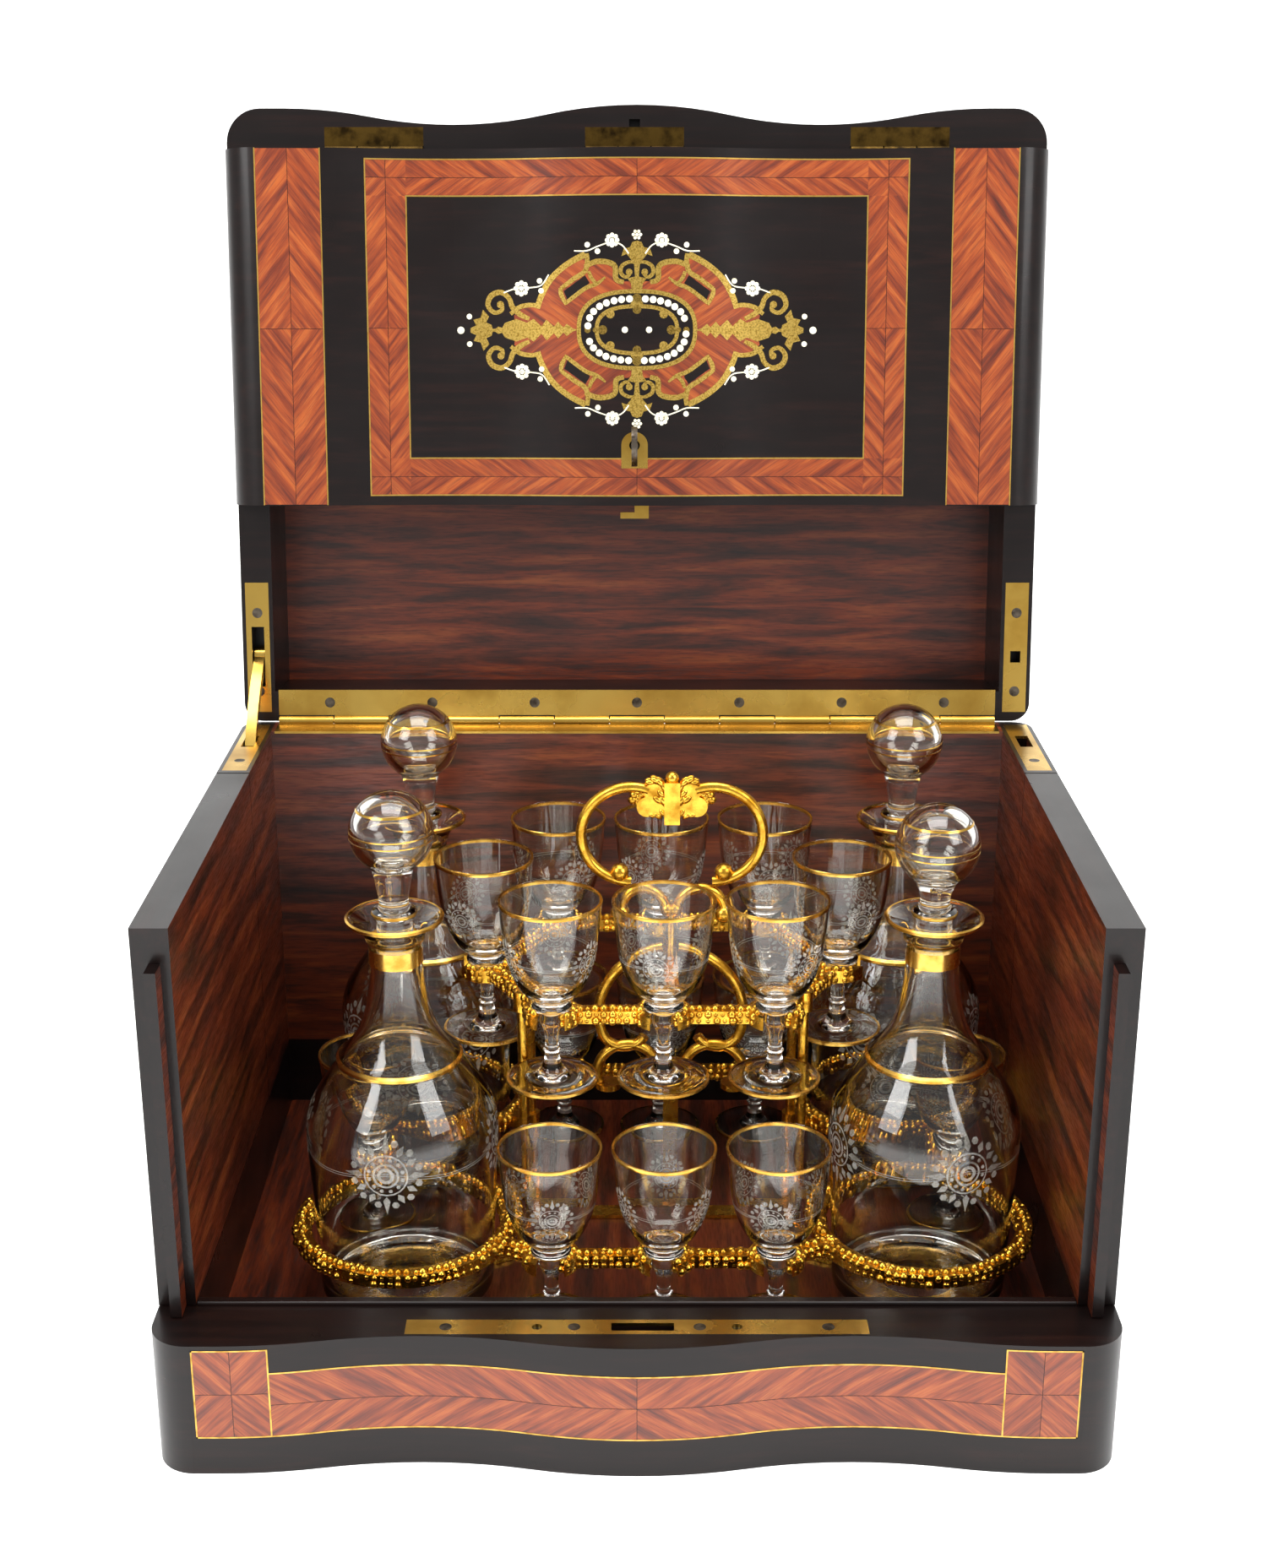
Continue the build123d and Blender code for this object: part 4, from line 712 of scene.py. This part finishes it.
SQUARE_IN, SQUARE_OUT = 128.0, 154.0
BAND_LOW, BAND_HIGH, SQUARE_HIGH = 15.0, 40.5, 50.0
wood, brass, seams = bmesh.new(), bmesh.new(), bmesh.new()
quarters(wood, seams, -SQUARE_IN, SQUARE_IN, BAND_LOW, BAND_HIGH, LEVEL)
for side in (-1, 1):
    edges = sorted((side * SQUARE_IN, side * SQUARE_OUT))
    quarters(wood, seams, *edges, BAND_LOW, SQUARE_HIGH, math.radians(45))
    brass_frame(brass, edges[0], BAND_LOW, edges[1], SQUARE_HIGH)
brass_line(brass, -SQUARE_IN, BAND_LOW, SQUARE_IN, BAND_LOW)
brass_line(brass, -SQUARE_IN, BAND_HIGH, SQUARE_IN, BAND_HIGH)
for bm in (wood, brass, seams):
    bend(bm)
finish_piece("base_kingwood", wood, kingwood_veneer, "cabinet")
finish_piece("base_brass_strings", brass, inlay_brass, "cabinet")
finish_piece("base_seams", seams, black_wide, "cabinet")
print("kingwood bands and brass strings laid")

# %% [markdown]
# The medallion is symmetric both ways, so a quarter of it is written down, in millimetres
# from its middle: kingwood ground, engraved brass strapwork and scrolls, bone flowers.

# %% The medallion
MIDDLE = 124.6
GROUND = [(0, 12), (0, 19.5), (8.5, 19.5), (9.5, 26.5), (20.5, 26.5), (22, 29.8), (31.5, 24.2),
          (38.5, 16.5), (41, 9.8), (47, 9.2), (51, 6), (50, 0), (18, 0)]
SLOT = [(21.4, 22.0), (30.2, 15.7), (28.7, 12.2), (19.4, 18.9)]
PALMETTE = [(0, 35.8), (1.9, 35.2), (2.8, 33.2), (5.4, 32.6), (6.4, 29.6), (4.2, 30.4),
            (2.7, 28.6), (1.2, 26.4), (0.8, 21.5), (0, 21.5)]
VASE = [(0, 21.6), (3.9, 20.7), (2.4, 18.6), (2.1, 15.8), (0, 15.8)]
FOLIAGE = [(24.5, 0), (26.5, 0.6), (29, 2.5), (30.4, 1.0), (32.6, 3.4), (34.4, 1.3), (37.4, 4.2),
           (39.6, 1.5), (42.8, 4.6), (45.6, 3.0), (50, 4.6), (54.8, 3.0), (56, 1.0), (57.6, 1.5),
           (58.8, 0.6), (60, 0.6), (60, 0)]
TIP = [(59.8, 0), (60.4, 2.2), (62.6, 3.2), (61.4, 5.6), (63.9, 8.4), (65.0, 5.0), (68.0, 4.3),
       (66.8, 2.0), (69.2, 0.9), (69.2, 0)]
STROKES = [
    ([(21.3, 30.4), (29, 26.3), (35.5, 20.6), (39.6, 13.6), (41.2, 8.8)], (2.6, 2.4, 2.4, 2.4, 2.2)),
    ([(40.2, 9.7), (44, 10.2), (48.5, 9.4), (52.4, 6.6)], (1.8, 1.8, 1.9, 1.6)),
    ([(5.4, 19.2), (8.6, 20.4), (9.0, 25.4), (12, 27.2), (17, 27.4), (21.5, 25.4)],
     (1.8, 2.2, 2.2, 2.2, 2.2, 1.8)),
    ([(20.6, 30.8), (20.4, 27), (21.6, 23.4), (26, 20.6), (31.4, 16.7)], (1.6, 2.0, 2.0, 1.9, 1.6)),
    ([(31.6, 17), (31.2, 14.2), (29.2, 10.2)], (1.4, 1.9, 1.2)),
    ([(29.4, 10.8), (26, 13.4), (21, 16.9), (16.4, 18.6), (13, 21.2)], (1.5, 1.7, 1.7, 1.5, 0.8)),
    ([(19.8, 23.6), (18.8, 21), (16.6, 18.6)], (1.4, 1.6, 1.2)),
    ([(1.2, 27), (3.4, 27.2), (6.2, 25.6), (6.6, 22.8), (4.6, 21.2), (2.9, 22.4), (3.3, 24)],
     (0.9, 1.4, 1.6, 1.6, 1.4, 1.2, 1.4)),
    ([(44.6, 4.6), (48.4, 6.4), (51.6, 9.4), (53, 13), (56.4, 15.4), (60.4, 14), (61.8, 10.2),
      (59.2, 7.2), (56.0, 8.2), (56.2, 10.8)], (1.6, 2.2, 2.2, 2.0, 2.2, 2.3, 2.1, 1.8, 1.7, 1.8)),
]
STEMS = [
    [(3.4, 30.6), (6.2, 34.0), (10.4, 35.2), (16, 33.6), (20.6, 31.8), (25.8, 31.8)],
    [(36.4, 22.4), (39.4, 18.2), (44, 17.2), (50, 16.9), (55.2, 15.2)],
]
FLOWERS = [(10.2, 36.0, 3.2, 8), (47.8, 16.9, 3.5, 8)]
DOT_RADIUS = 1.15
DOTS = [(16.2, 31.6), (20.4, 34.2), (40.2, 19.9), (39.6, 15.9), (69.6, 5.6)]
KNOBS = [(11.0, 6.4, 1.8), (14.2, 0, 1.9), (17.2, 0, 1.1), (20.4, 0, 1.3), (0, 12.6, 2.0),
         (0, 8.2, 1.8), (1.3, 10.3, 1.3), (3.2, 23.2, 1.4), (56.6, 10.4, 1.5)]


def mirrored(points, side, end):
    """Points of the quarter, mirrored and moved to the medallion's middle."""
    return [(side * x, MIDDLE + end * z) for x, z in points]


def oval(half_width, half_height, count=72, power=2.5):
    """A squarish oval about the middle."""
    points = []
    for i in range(count):
        c, s = math.cos(2 * math.pi * i / count), math.sin(2 * math.pi * i / count)
        points.append((half_width * math.copysign(abs(c) ** (2 / power), c),
                       MIDDLE + half_height * math.copysign(abs(s) ** (2 / power), s)))
    return points


def flower(bm, x, z, radius, petals):
    """A bone flower: round petals about a small centre."""
    for i in range(petals):
        angle = 2 * math.pi * i / petals
        disc(bm, x + 0.64 * radius * math.cos(angle), z + 0.64 * radius * math.sin(angle),
             0.3 * radius, BONE, 8)
    disc(bm, x, z, 0.3 * radius, BONE, 8)


ground, dark, cut, pale = (bmesh.new() for _ in range(4))
for side in (-1, 1):
    for end in (-1, 1):
        inlay(ground, mirrored(GROUND, side, end), VENEER, side * end * LEVEL)
        inlay(dark, mirrored(SLOT, side, end), EBONY)
        for shape in (PALMETTE, VASE, FOLIAGE, TIP):
            inlay(cut, mirrored(shape, side, end), BRASS)
        for points, widths in STROKES:
            stroke(cut, mirrored(points, side, end), widths, BRASS)
        for x, z, radius in KNOBS:
            disc(cut, side * x, MIDDLE + end * z, radius, BRASS)
        for points in STEMS:
            stroke(pale, mirrored(points, side, end), [0.55] * len(points), BONE)
        for x, z, radius, petals in FLOWERS:
            flower(pale, side * x, MIDDLE + end * z, radius, petals)
        for x, z in DOTS:
            disc(pale, side * x, MIDDLE + end * z, DOT_RADIUS, BONE)
    disc(pale, side * 73.2, MIDDLE, 1.5, BONE)
    disc(pale, side * 5.0, MIDDLE, 1.3, BONE)
    flower(pale, 0, MIDDLE + side * 38.2, 2.3, 6)
inlay(dark, oval(23.4, 14.9), EBONY)
inlay_ring(cut, oval(24.9, 16.4), oval(23.2, 14.7), BRASS)
inlay_ring(cut, oval(17.4, 10.3), oval(15.8, 8.7), BRASS)
pearls = oval(20.3, 12.5, 400)
lengths = [0.0]
for before, after in zip(pearls, pearls[1:] + pearls[:1]):
    lengths.append(lengths[-1] + math.dist(before, after))
PEARLS, PEARL_RADIUS = 34, 1.45
for i in range(PEARLS):
    place = (i + 0.5) * lengths[-1] / PEARLS
    index = next(k for k, length in enumerate(lengths) if length >= place) - 1
    x, z = pearls[index % len(pearls)]
    if abs(x) > 2.2 and abs(z - MIDDLE) > 1.4:
        disc(pale, x, z, PEARL_RADIUS, BONE)
for bm in (ground, dark, cut, pale):
    bend(bm)
finish_piece("medallion_ground", ground, kingwood_veneer, "panel", to_panel)
finish_piece("medallion_ebony", dark, black_wide, "panel", to_panel)
finish_piece("medallion_brass", cut, cut_brass, "panel", to_panel)
finish_piece("medallion_bone", pale, bone_inlay, "panel", to_panel)
print("medallion laid")

# %% [markdown]
# The rack's galleries are cast as ropes of berries. Low lumps of random size sit along
# every ring, notch and bar of the CAD bands, which stay as their core.

# %% Berry castings on the galleries
RING = 39.6 * MM
NOTCH = 8.3 * MM
NOTCH_MOUTH = 0.72
ROW_OFFSET = 8 * MM
BERRY = 1.6 * MM
random.seed(7)
centres = {name: node_centre(name) for name in glass_names + decanter_names}
rack_mid = sum((centres[name] for name in decanter_names), Vector()) / len(decanter_names)

template = bmesh.new()
bmesh.ops.create_uvsphere(template, u_segments=7, v_segments=5, radius=1.0)
BERRY_VERTS = [vert.co.copy() for vert in template.verts]
BERRY_FACES = [[vert.index for vert in face.verts] for face in template.faces]
template.free()


def berry(bm, place, size):
    """One faceted berry."""
    made = [bm.verts.new(Vector(place) + co * size) for co in BERRY_VERTS]
    for face in BERRY_FACES:
        bm.faces.new([made[index] for index in face])


def rope(bm, points, height, half):
    """Berries along a line in plan: two rows on each side and a crown."""
    for index, (x, y) in enumerate(points):
        ahead = points[min(index + 1, len(points) - 1)]
        behind = points[max(index - 1, 0)]
        run = Vector((ahead[0] - behind[0], ahead[1] - behind[1], 0)).normalized()
        across = Vector((-run.y, run.x, 0))
        crown = random.uniform(-0.7, 0.7)
        for shift, rise in ((-half, -1.3), (-half, 1.2), (half, -1.3), (half, 1.2), (crown, 2.4)):
            place = Vector((x, y, height)) + across * shift * MM
            place += Vector((random.uniform(-0.5, 0.5), random.uniform(-0.5, 0.5), rise)) * MM
            berry(bm, place, BERRY * random.uniform(0.65, 1.2))


def arc_points(centre, radius, start, sweep, step):
    """Points along an arc in plan, about a step apart."""
    count = max(2, round(radius * abs(sweep) / step))
    return [(centre.x + radius * math.cos(start + sweep * i / count),
             centre.y + radius * math.sin(start + sweep * i / count)) for i in range(count)]


def link_points(start, end, circles, step):
    """Points of a straight link that lie outside the given circles."""
    count = max(2, round((end - start).length / step))
    points = [start.lerp(end, (i + 0.5) / count) for i in range(count)]
    return [(p.x, p.y) for p in points
            if all((p.xy - centre.xy).length > radius for centre, radius in circles)]


def heading(centre):
    """Outward direction of a notch: along Y for the rows, along X for the sides."""
    away = centre - rack_mid
    if abs(away.y) > ROW_OFFSET:
        return math.copysign(math.pi / 2, away.y)
    return 0.0 if away.x > 0 else math.pi


STEP = 2.9 * MM
for tier, node in (("glass_lower", "lower_gallery"), ("glass_upper", "upper_gallery")):
    low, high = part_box(node)
    middle = (low.z + high.z) / 2
    bm = bmesh.new()
    spots = {name.removeprefix(tier + "_"): centres[name]
             for name in glass_names if name.startswith(tier)}
    circles = [(spot, NOTCH) for spot in spots.values()]
    for spot in spots.values():
        notch = arc_points(spot, NOTCH, heading(spot) + NOTCH_MOUTH,
                           2 * math.pi - 2 * NOTCH_MOUTH, STEP)
        rope(bm, notch, middle, 1.3)
    links = [(spots[f"{end}_{side}"], spots[f"{end}_middle"])
             for end in ("front", "back") for side in ("left", "right")]
    if node == "lower_gallery":
        for name in decanter_names:
            spot = centres[name]
            circles.append((spot, RING))
            rope(bm, arc_points(spot, RING, 0, 2 * math.pi, STEP), middle, 2.1)
            end, side = name.removeprefix("decanter_").split("_")
            links += [(spots[f"{end}_{side}"], spot), (spots[f"side_{side}"], spot)]
    else:
        links += [(spots[f"{end}_{side}"], spots[f"side_{side}"])
                  for end in ("front", "back") for side in ("left", "right")]
    for start, end in links:
        rope(bm, link_points(start, end, circles, STEP), middle, 2.6)
    print(node, "berries", len(bm.verts) // len(BERRY_VERTS))
    finish_piece(f"berries_{node}", bm, gilt_bronze, "rack", sharp=80)

# %% [markdown]
# The bow's crest is a faceted bud between two curled leaves. Small lobes of gilt bronze
# follow a spiral on each side and fan up to the bud.

# %% Crest of the bow
bow_low, bow_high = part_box("rack_handle")
crest_x, crest_y = (bow_low.x + bow_high.x) / 2, (bow_low.y + bow_high.y) / 2
crest_z = bow_high.z - 13 * MM
LOBES = [(3.0, 6.8, 1.9), (4.6, 8.8, 1.7), (6.6, 9.8, 1.6), (8.6, 9.0, 1.5), (3.6, -3.4, 1.6),
         (5.6, -4.6, 1.5), (7.6, -4.4, 1.3), (3.2, 1.4, 2.2), (5.4, 2.0, 2.0), (4.2, 4.4, 1.8)]
bm = bmesh.new()
for side in (-1, 1):
    for x, z, size in LOBES:
        for depth in (-1, 1):
            lobe = Matrix.Translation((crest_x + side * x * MM, crest_y + depth * 1.3 * MM,
                                       crest_z + z * MM))
            lobe = lobe @ Matrix.Rotation(side * math.radians(10 * x), 4, "Y")
            bmesh.ops.create_uvsphere(bm, u_segments=10, v_segments=7, radius=size * MM,
                                      matrix=lobe @ Matrix.Diagonal((0.7, 0.7, 1.25, 1)))
    for i in range(30):
        turn, away = 0.42 * i, (5.0 - 0.13 * i) * MM
        place = (crest_x + side * (10.2 * MM + away * math.cos(turn)),
                 crest_y, crest_z + 1.6 * MM + away * math.sin(turn))
        berry(bm, place, (1.9 - 0.02 * i) * MM)
finish_piece("crest_leaves", bm, gilt_bronze, "rack", sharp=80)

# %% [markdown]
# The glasses and decanters are wheel engraved with rosettes of rings, petals and beads,
# joined by two fine lines. They are drawn flat and wrapped on the glass.

# %% Wheel engraving
def radius_at(profile, height):
    """Outside radius of a profile at a height."""
    for (r0, z0), (r1, z1) in zip(profile, profile[1:]):
        if z0 <= height <= z1:
            return r0 + (r1 - r0) * (height - z0) / (z1 - z0)
    return profile[-1][0]


def wrap_face(bm, centre, profile, around, points):
    """One engraved face, its flat (s, z) points wrapped on the glass."""
    verts = []
    for run, height in points:
        radius = radius_at(profile, height) + PROUD
        angle = around + run / radius
        verts.append(bm.verts.new((centre.x + radius * MM * math.cos(angle),
                                   centre.y + radius * MM * math.sin(angle),
                                   centre.z + height * MM)))
    bm.faces.new(verts)


def rosette(bm, centre, profile, around, height, size):
    """Rings, petals and beads about a point of the glass."""
    def spot(radius, angle):
        return radius * math.cos(angle), height + radius * math.sin(angle)

    for inner, outer in ((0.12, 0.2), (0.26, 0.31), (0.48, 0.52)):
        for i in range(20):
            a, b = 2 * math.pi * i / 20, 2 * math.pi * (i + 1) / 20
            wrap_face(bm, centre, profile, around,
                      [spot(inner * size, a), spot(outer * size, a),
                       spot(outer * size, b), spot(inner * size, b)])
    for i in range(12):
        angle = 2 * math.pi * i / 12
        reach = 1.0 if i % 3 == 0 else 0.82
        wrap_face(bm, centre, profile, around,
                  [spot(0.54 * size, angle), spot(0.66 * size, angle - 0.13),
                   spot(reach * size, angle), spot(0.66 * size, angle + 0.13)])
        bead = [spot(0.4 * size, angle + 0.26)]
        for k in range(6):
            x, z = bead[0]
            bead.append((x + 0.05 * size * math.cos(k * math.pi / 3),
                         z + 0.05 * size * math.sin(k * math.pi / 3)))
        wrap_face(bm, centre, profile, around, bead[1:])
        tip = spot(0.78 * size, angle + 0.26)
        wrap_face(bm, centre, profile, around,
                  [(tip[0] + 0.09 * size * math.cos(k * math.pi / 3),
                    tip[1] + 0.09 * size * math.sin(k * math.pi / 3)) for k in range(6)])


def engrave(bm, centre, profile, count, turn, height, size, drop):
    """Rosettes around the glass, with two fine lines that sag between them."""
    for i in range(count):
        around = turn + 2 * math.pi * i / count
        rosette(bm, centre, profile, around, height, size)
        for rise in (0.0, 0.9):
            span = 2 * math.pi / count
            for k in range(24):
                a, b = k / 24, (k + 1) / 24
                places = []
                for t, lift in ((a, 0), (b, 0), (b, 0.22), (a, 0.22)):
                    z = height - drop * math.sin(math.pi * t) + rise + lift
                    places.append((span * t * radius_at(profile, z), z))
                wrap_face(bm, centre, profile, around, places)


PROUD = 0.06
GLASS_ROSETTE = (52.0, 9.6, 1.2)
DECANTER_ROSETTE = (65.0, 16.0, 3.0)
glass_wall = [(r, z) for r, z in GLASS_BOWL if z < 72.7]
drum_wall = [(r, z) for r, z in DECANTER_OUTSIDE if z > 0.5]
for index, name in enumerate(glass_names):
    bm = bmesh.new()
    engrave(bm, centres[name], glass_wall, 3, 0.9 * index, *GLASS_ROSETTE)
    finish_piece(f"engraving_{name}", bm, engraving, name)
for index, name in enumerate(decanter_names):
    bm = bmesh.new()
    engrave(bm, centres[name], drum_wall, 4, 0.7 + 0.4 * index, *DECANTER_ROSETTE)
    finish_piece(f"engraving_{name}", bm, engraving, name)
print("engraved", len(glass_names) + len(decanter_names))

# %% [markdown]
# The floor is a plain pale paper that sweeps up behind. Large soft lamps on both sides and
# above give the long highlights that polished wood and glass need, and the camera stands
# where the photograph was taken from.

# %% Stage, lights and camera
SWEEP = [(-5.0, 0.0), (1.6, 0.0), (2.1, 0.07), (2.45, 0.3), (2.6, 0.7), (2.6, 4.0)]
SWEEP_HALF = 5.0
floor_bm = bmesh.new()
edges = [[floor_bm.verts.new((x, y, z)) for y, z in SWEEP] for x in (-SWEEP_HALF, SWEEP_HALF)]
for index in range(len(SWEEP) - 1):
    floor_bm.faces.new((edges[0][index], edges[1][index], edges[1][index + 1],
                        edges[0][index + 1]))
floor_mesh = bpy.data.meshes.new("paper_sweep")
floor_bm.to_mesh(floor_mesh)
floor_bm.free()
floor = bpy.data.objects.new("paper_sweep", floor_mesh)
bpy.context.scene.collection.objects.link(floor)
paper, _, paper_shader = new_material("pale_paper")
paper_shader.inputs["Base Color"].default_value = linear("fbfbfa")
paper_shader.inputs["Roughness"].default_value = 0.9
paper_shader.inputs["Emission Color"].default_value = linear("ffffff")
paper_shader.inputs["Emission Strength"].default_value = 0.45
floor_mesh.materials.append(paper)

world = bpy.data.worlds.new("studio")
bpy.context.scene.world = world
world.use_nodes = True
world.node_tree.nodes["Background"].inputs["Color"].default_value = linear("ffffff")
world.node_tree.nodes["Background"].inputs["Strength"].default_value = 0.5


def lamp(name, place, aim, size, power):
    """A soft rectangular lamp that faces a point."""
    light = bpy.data.lights.new(name, "AREA")
    light.shape = "RECTANGLE"
    light.size, light.size_y = size
    light.energy = power
    holder = bpy.data.objects.new(name, light)
    bpy.context.scene.collection.objects.link(holder)
    holder.location = place
    direction = Vector(aim) - Vector(place)
    holder.rotation_euler = direction.to_track_quat("-Z", "Y").to_euler()


SIDE_LAMP = (0.9, 1.2)
lamp("left_softbox", (-1.3, -1.0, 1.3), (0, 0, 0.2), SIDE_LAMP, 26)
lamp("right_softbox", (1.3, -1.0, 1.2), (0, 0, 0.2), SIDE_LAMP, 20)
lamp("top_softbox", (0, -0.1, 1.9), (0, 0, 0.1), (1.4, 1.0), 30)

EYE = (0, -0.7731, 0.4796)
TILT = math.radians(90 - 19.0)
LENS, SENSOR = 49.93, 36
SIDE_SHIFT = -0.0022
camera_data = bpy.data.cameras.new("camera")
camera = bpy.data.objects.new("camera", camera_data)
bpy.context.scene.collection.objects.link(camera)
camera_data.lens = LENS
camera_data.sensor_width = SENSOR
camera_data.shift_x = SIDE_SHIFT
camera.location = EYE
camera.rotation_euler = (TILT, 0, 0)
bpy.context.scene.camera = camera
bpy.context.scene.view_settings.view_transform = "Standard"
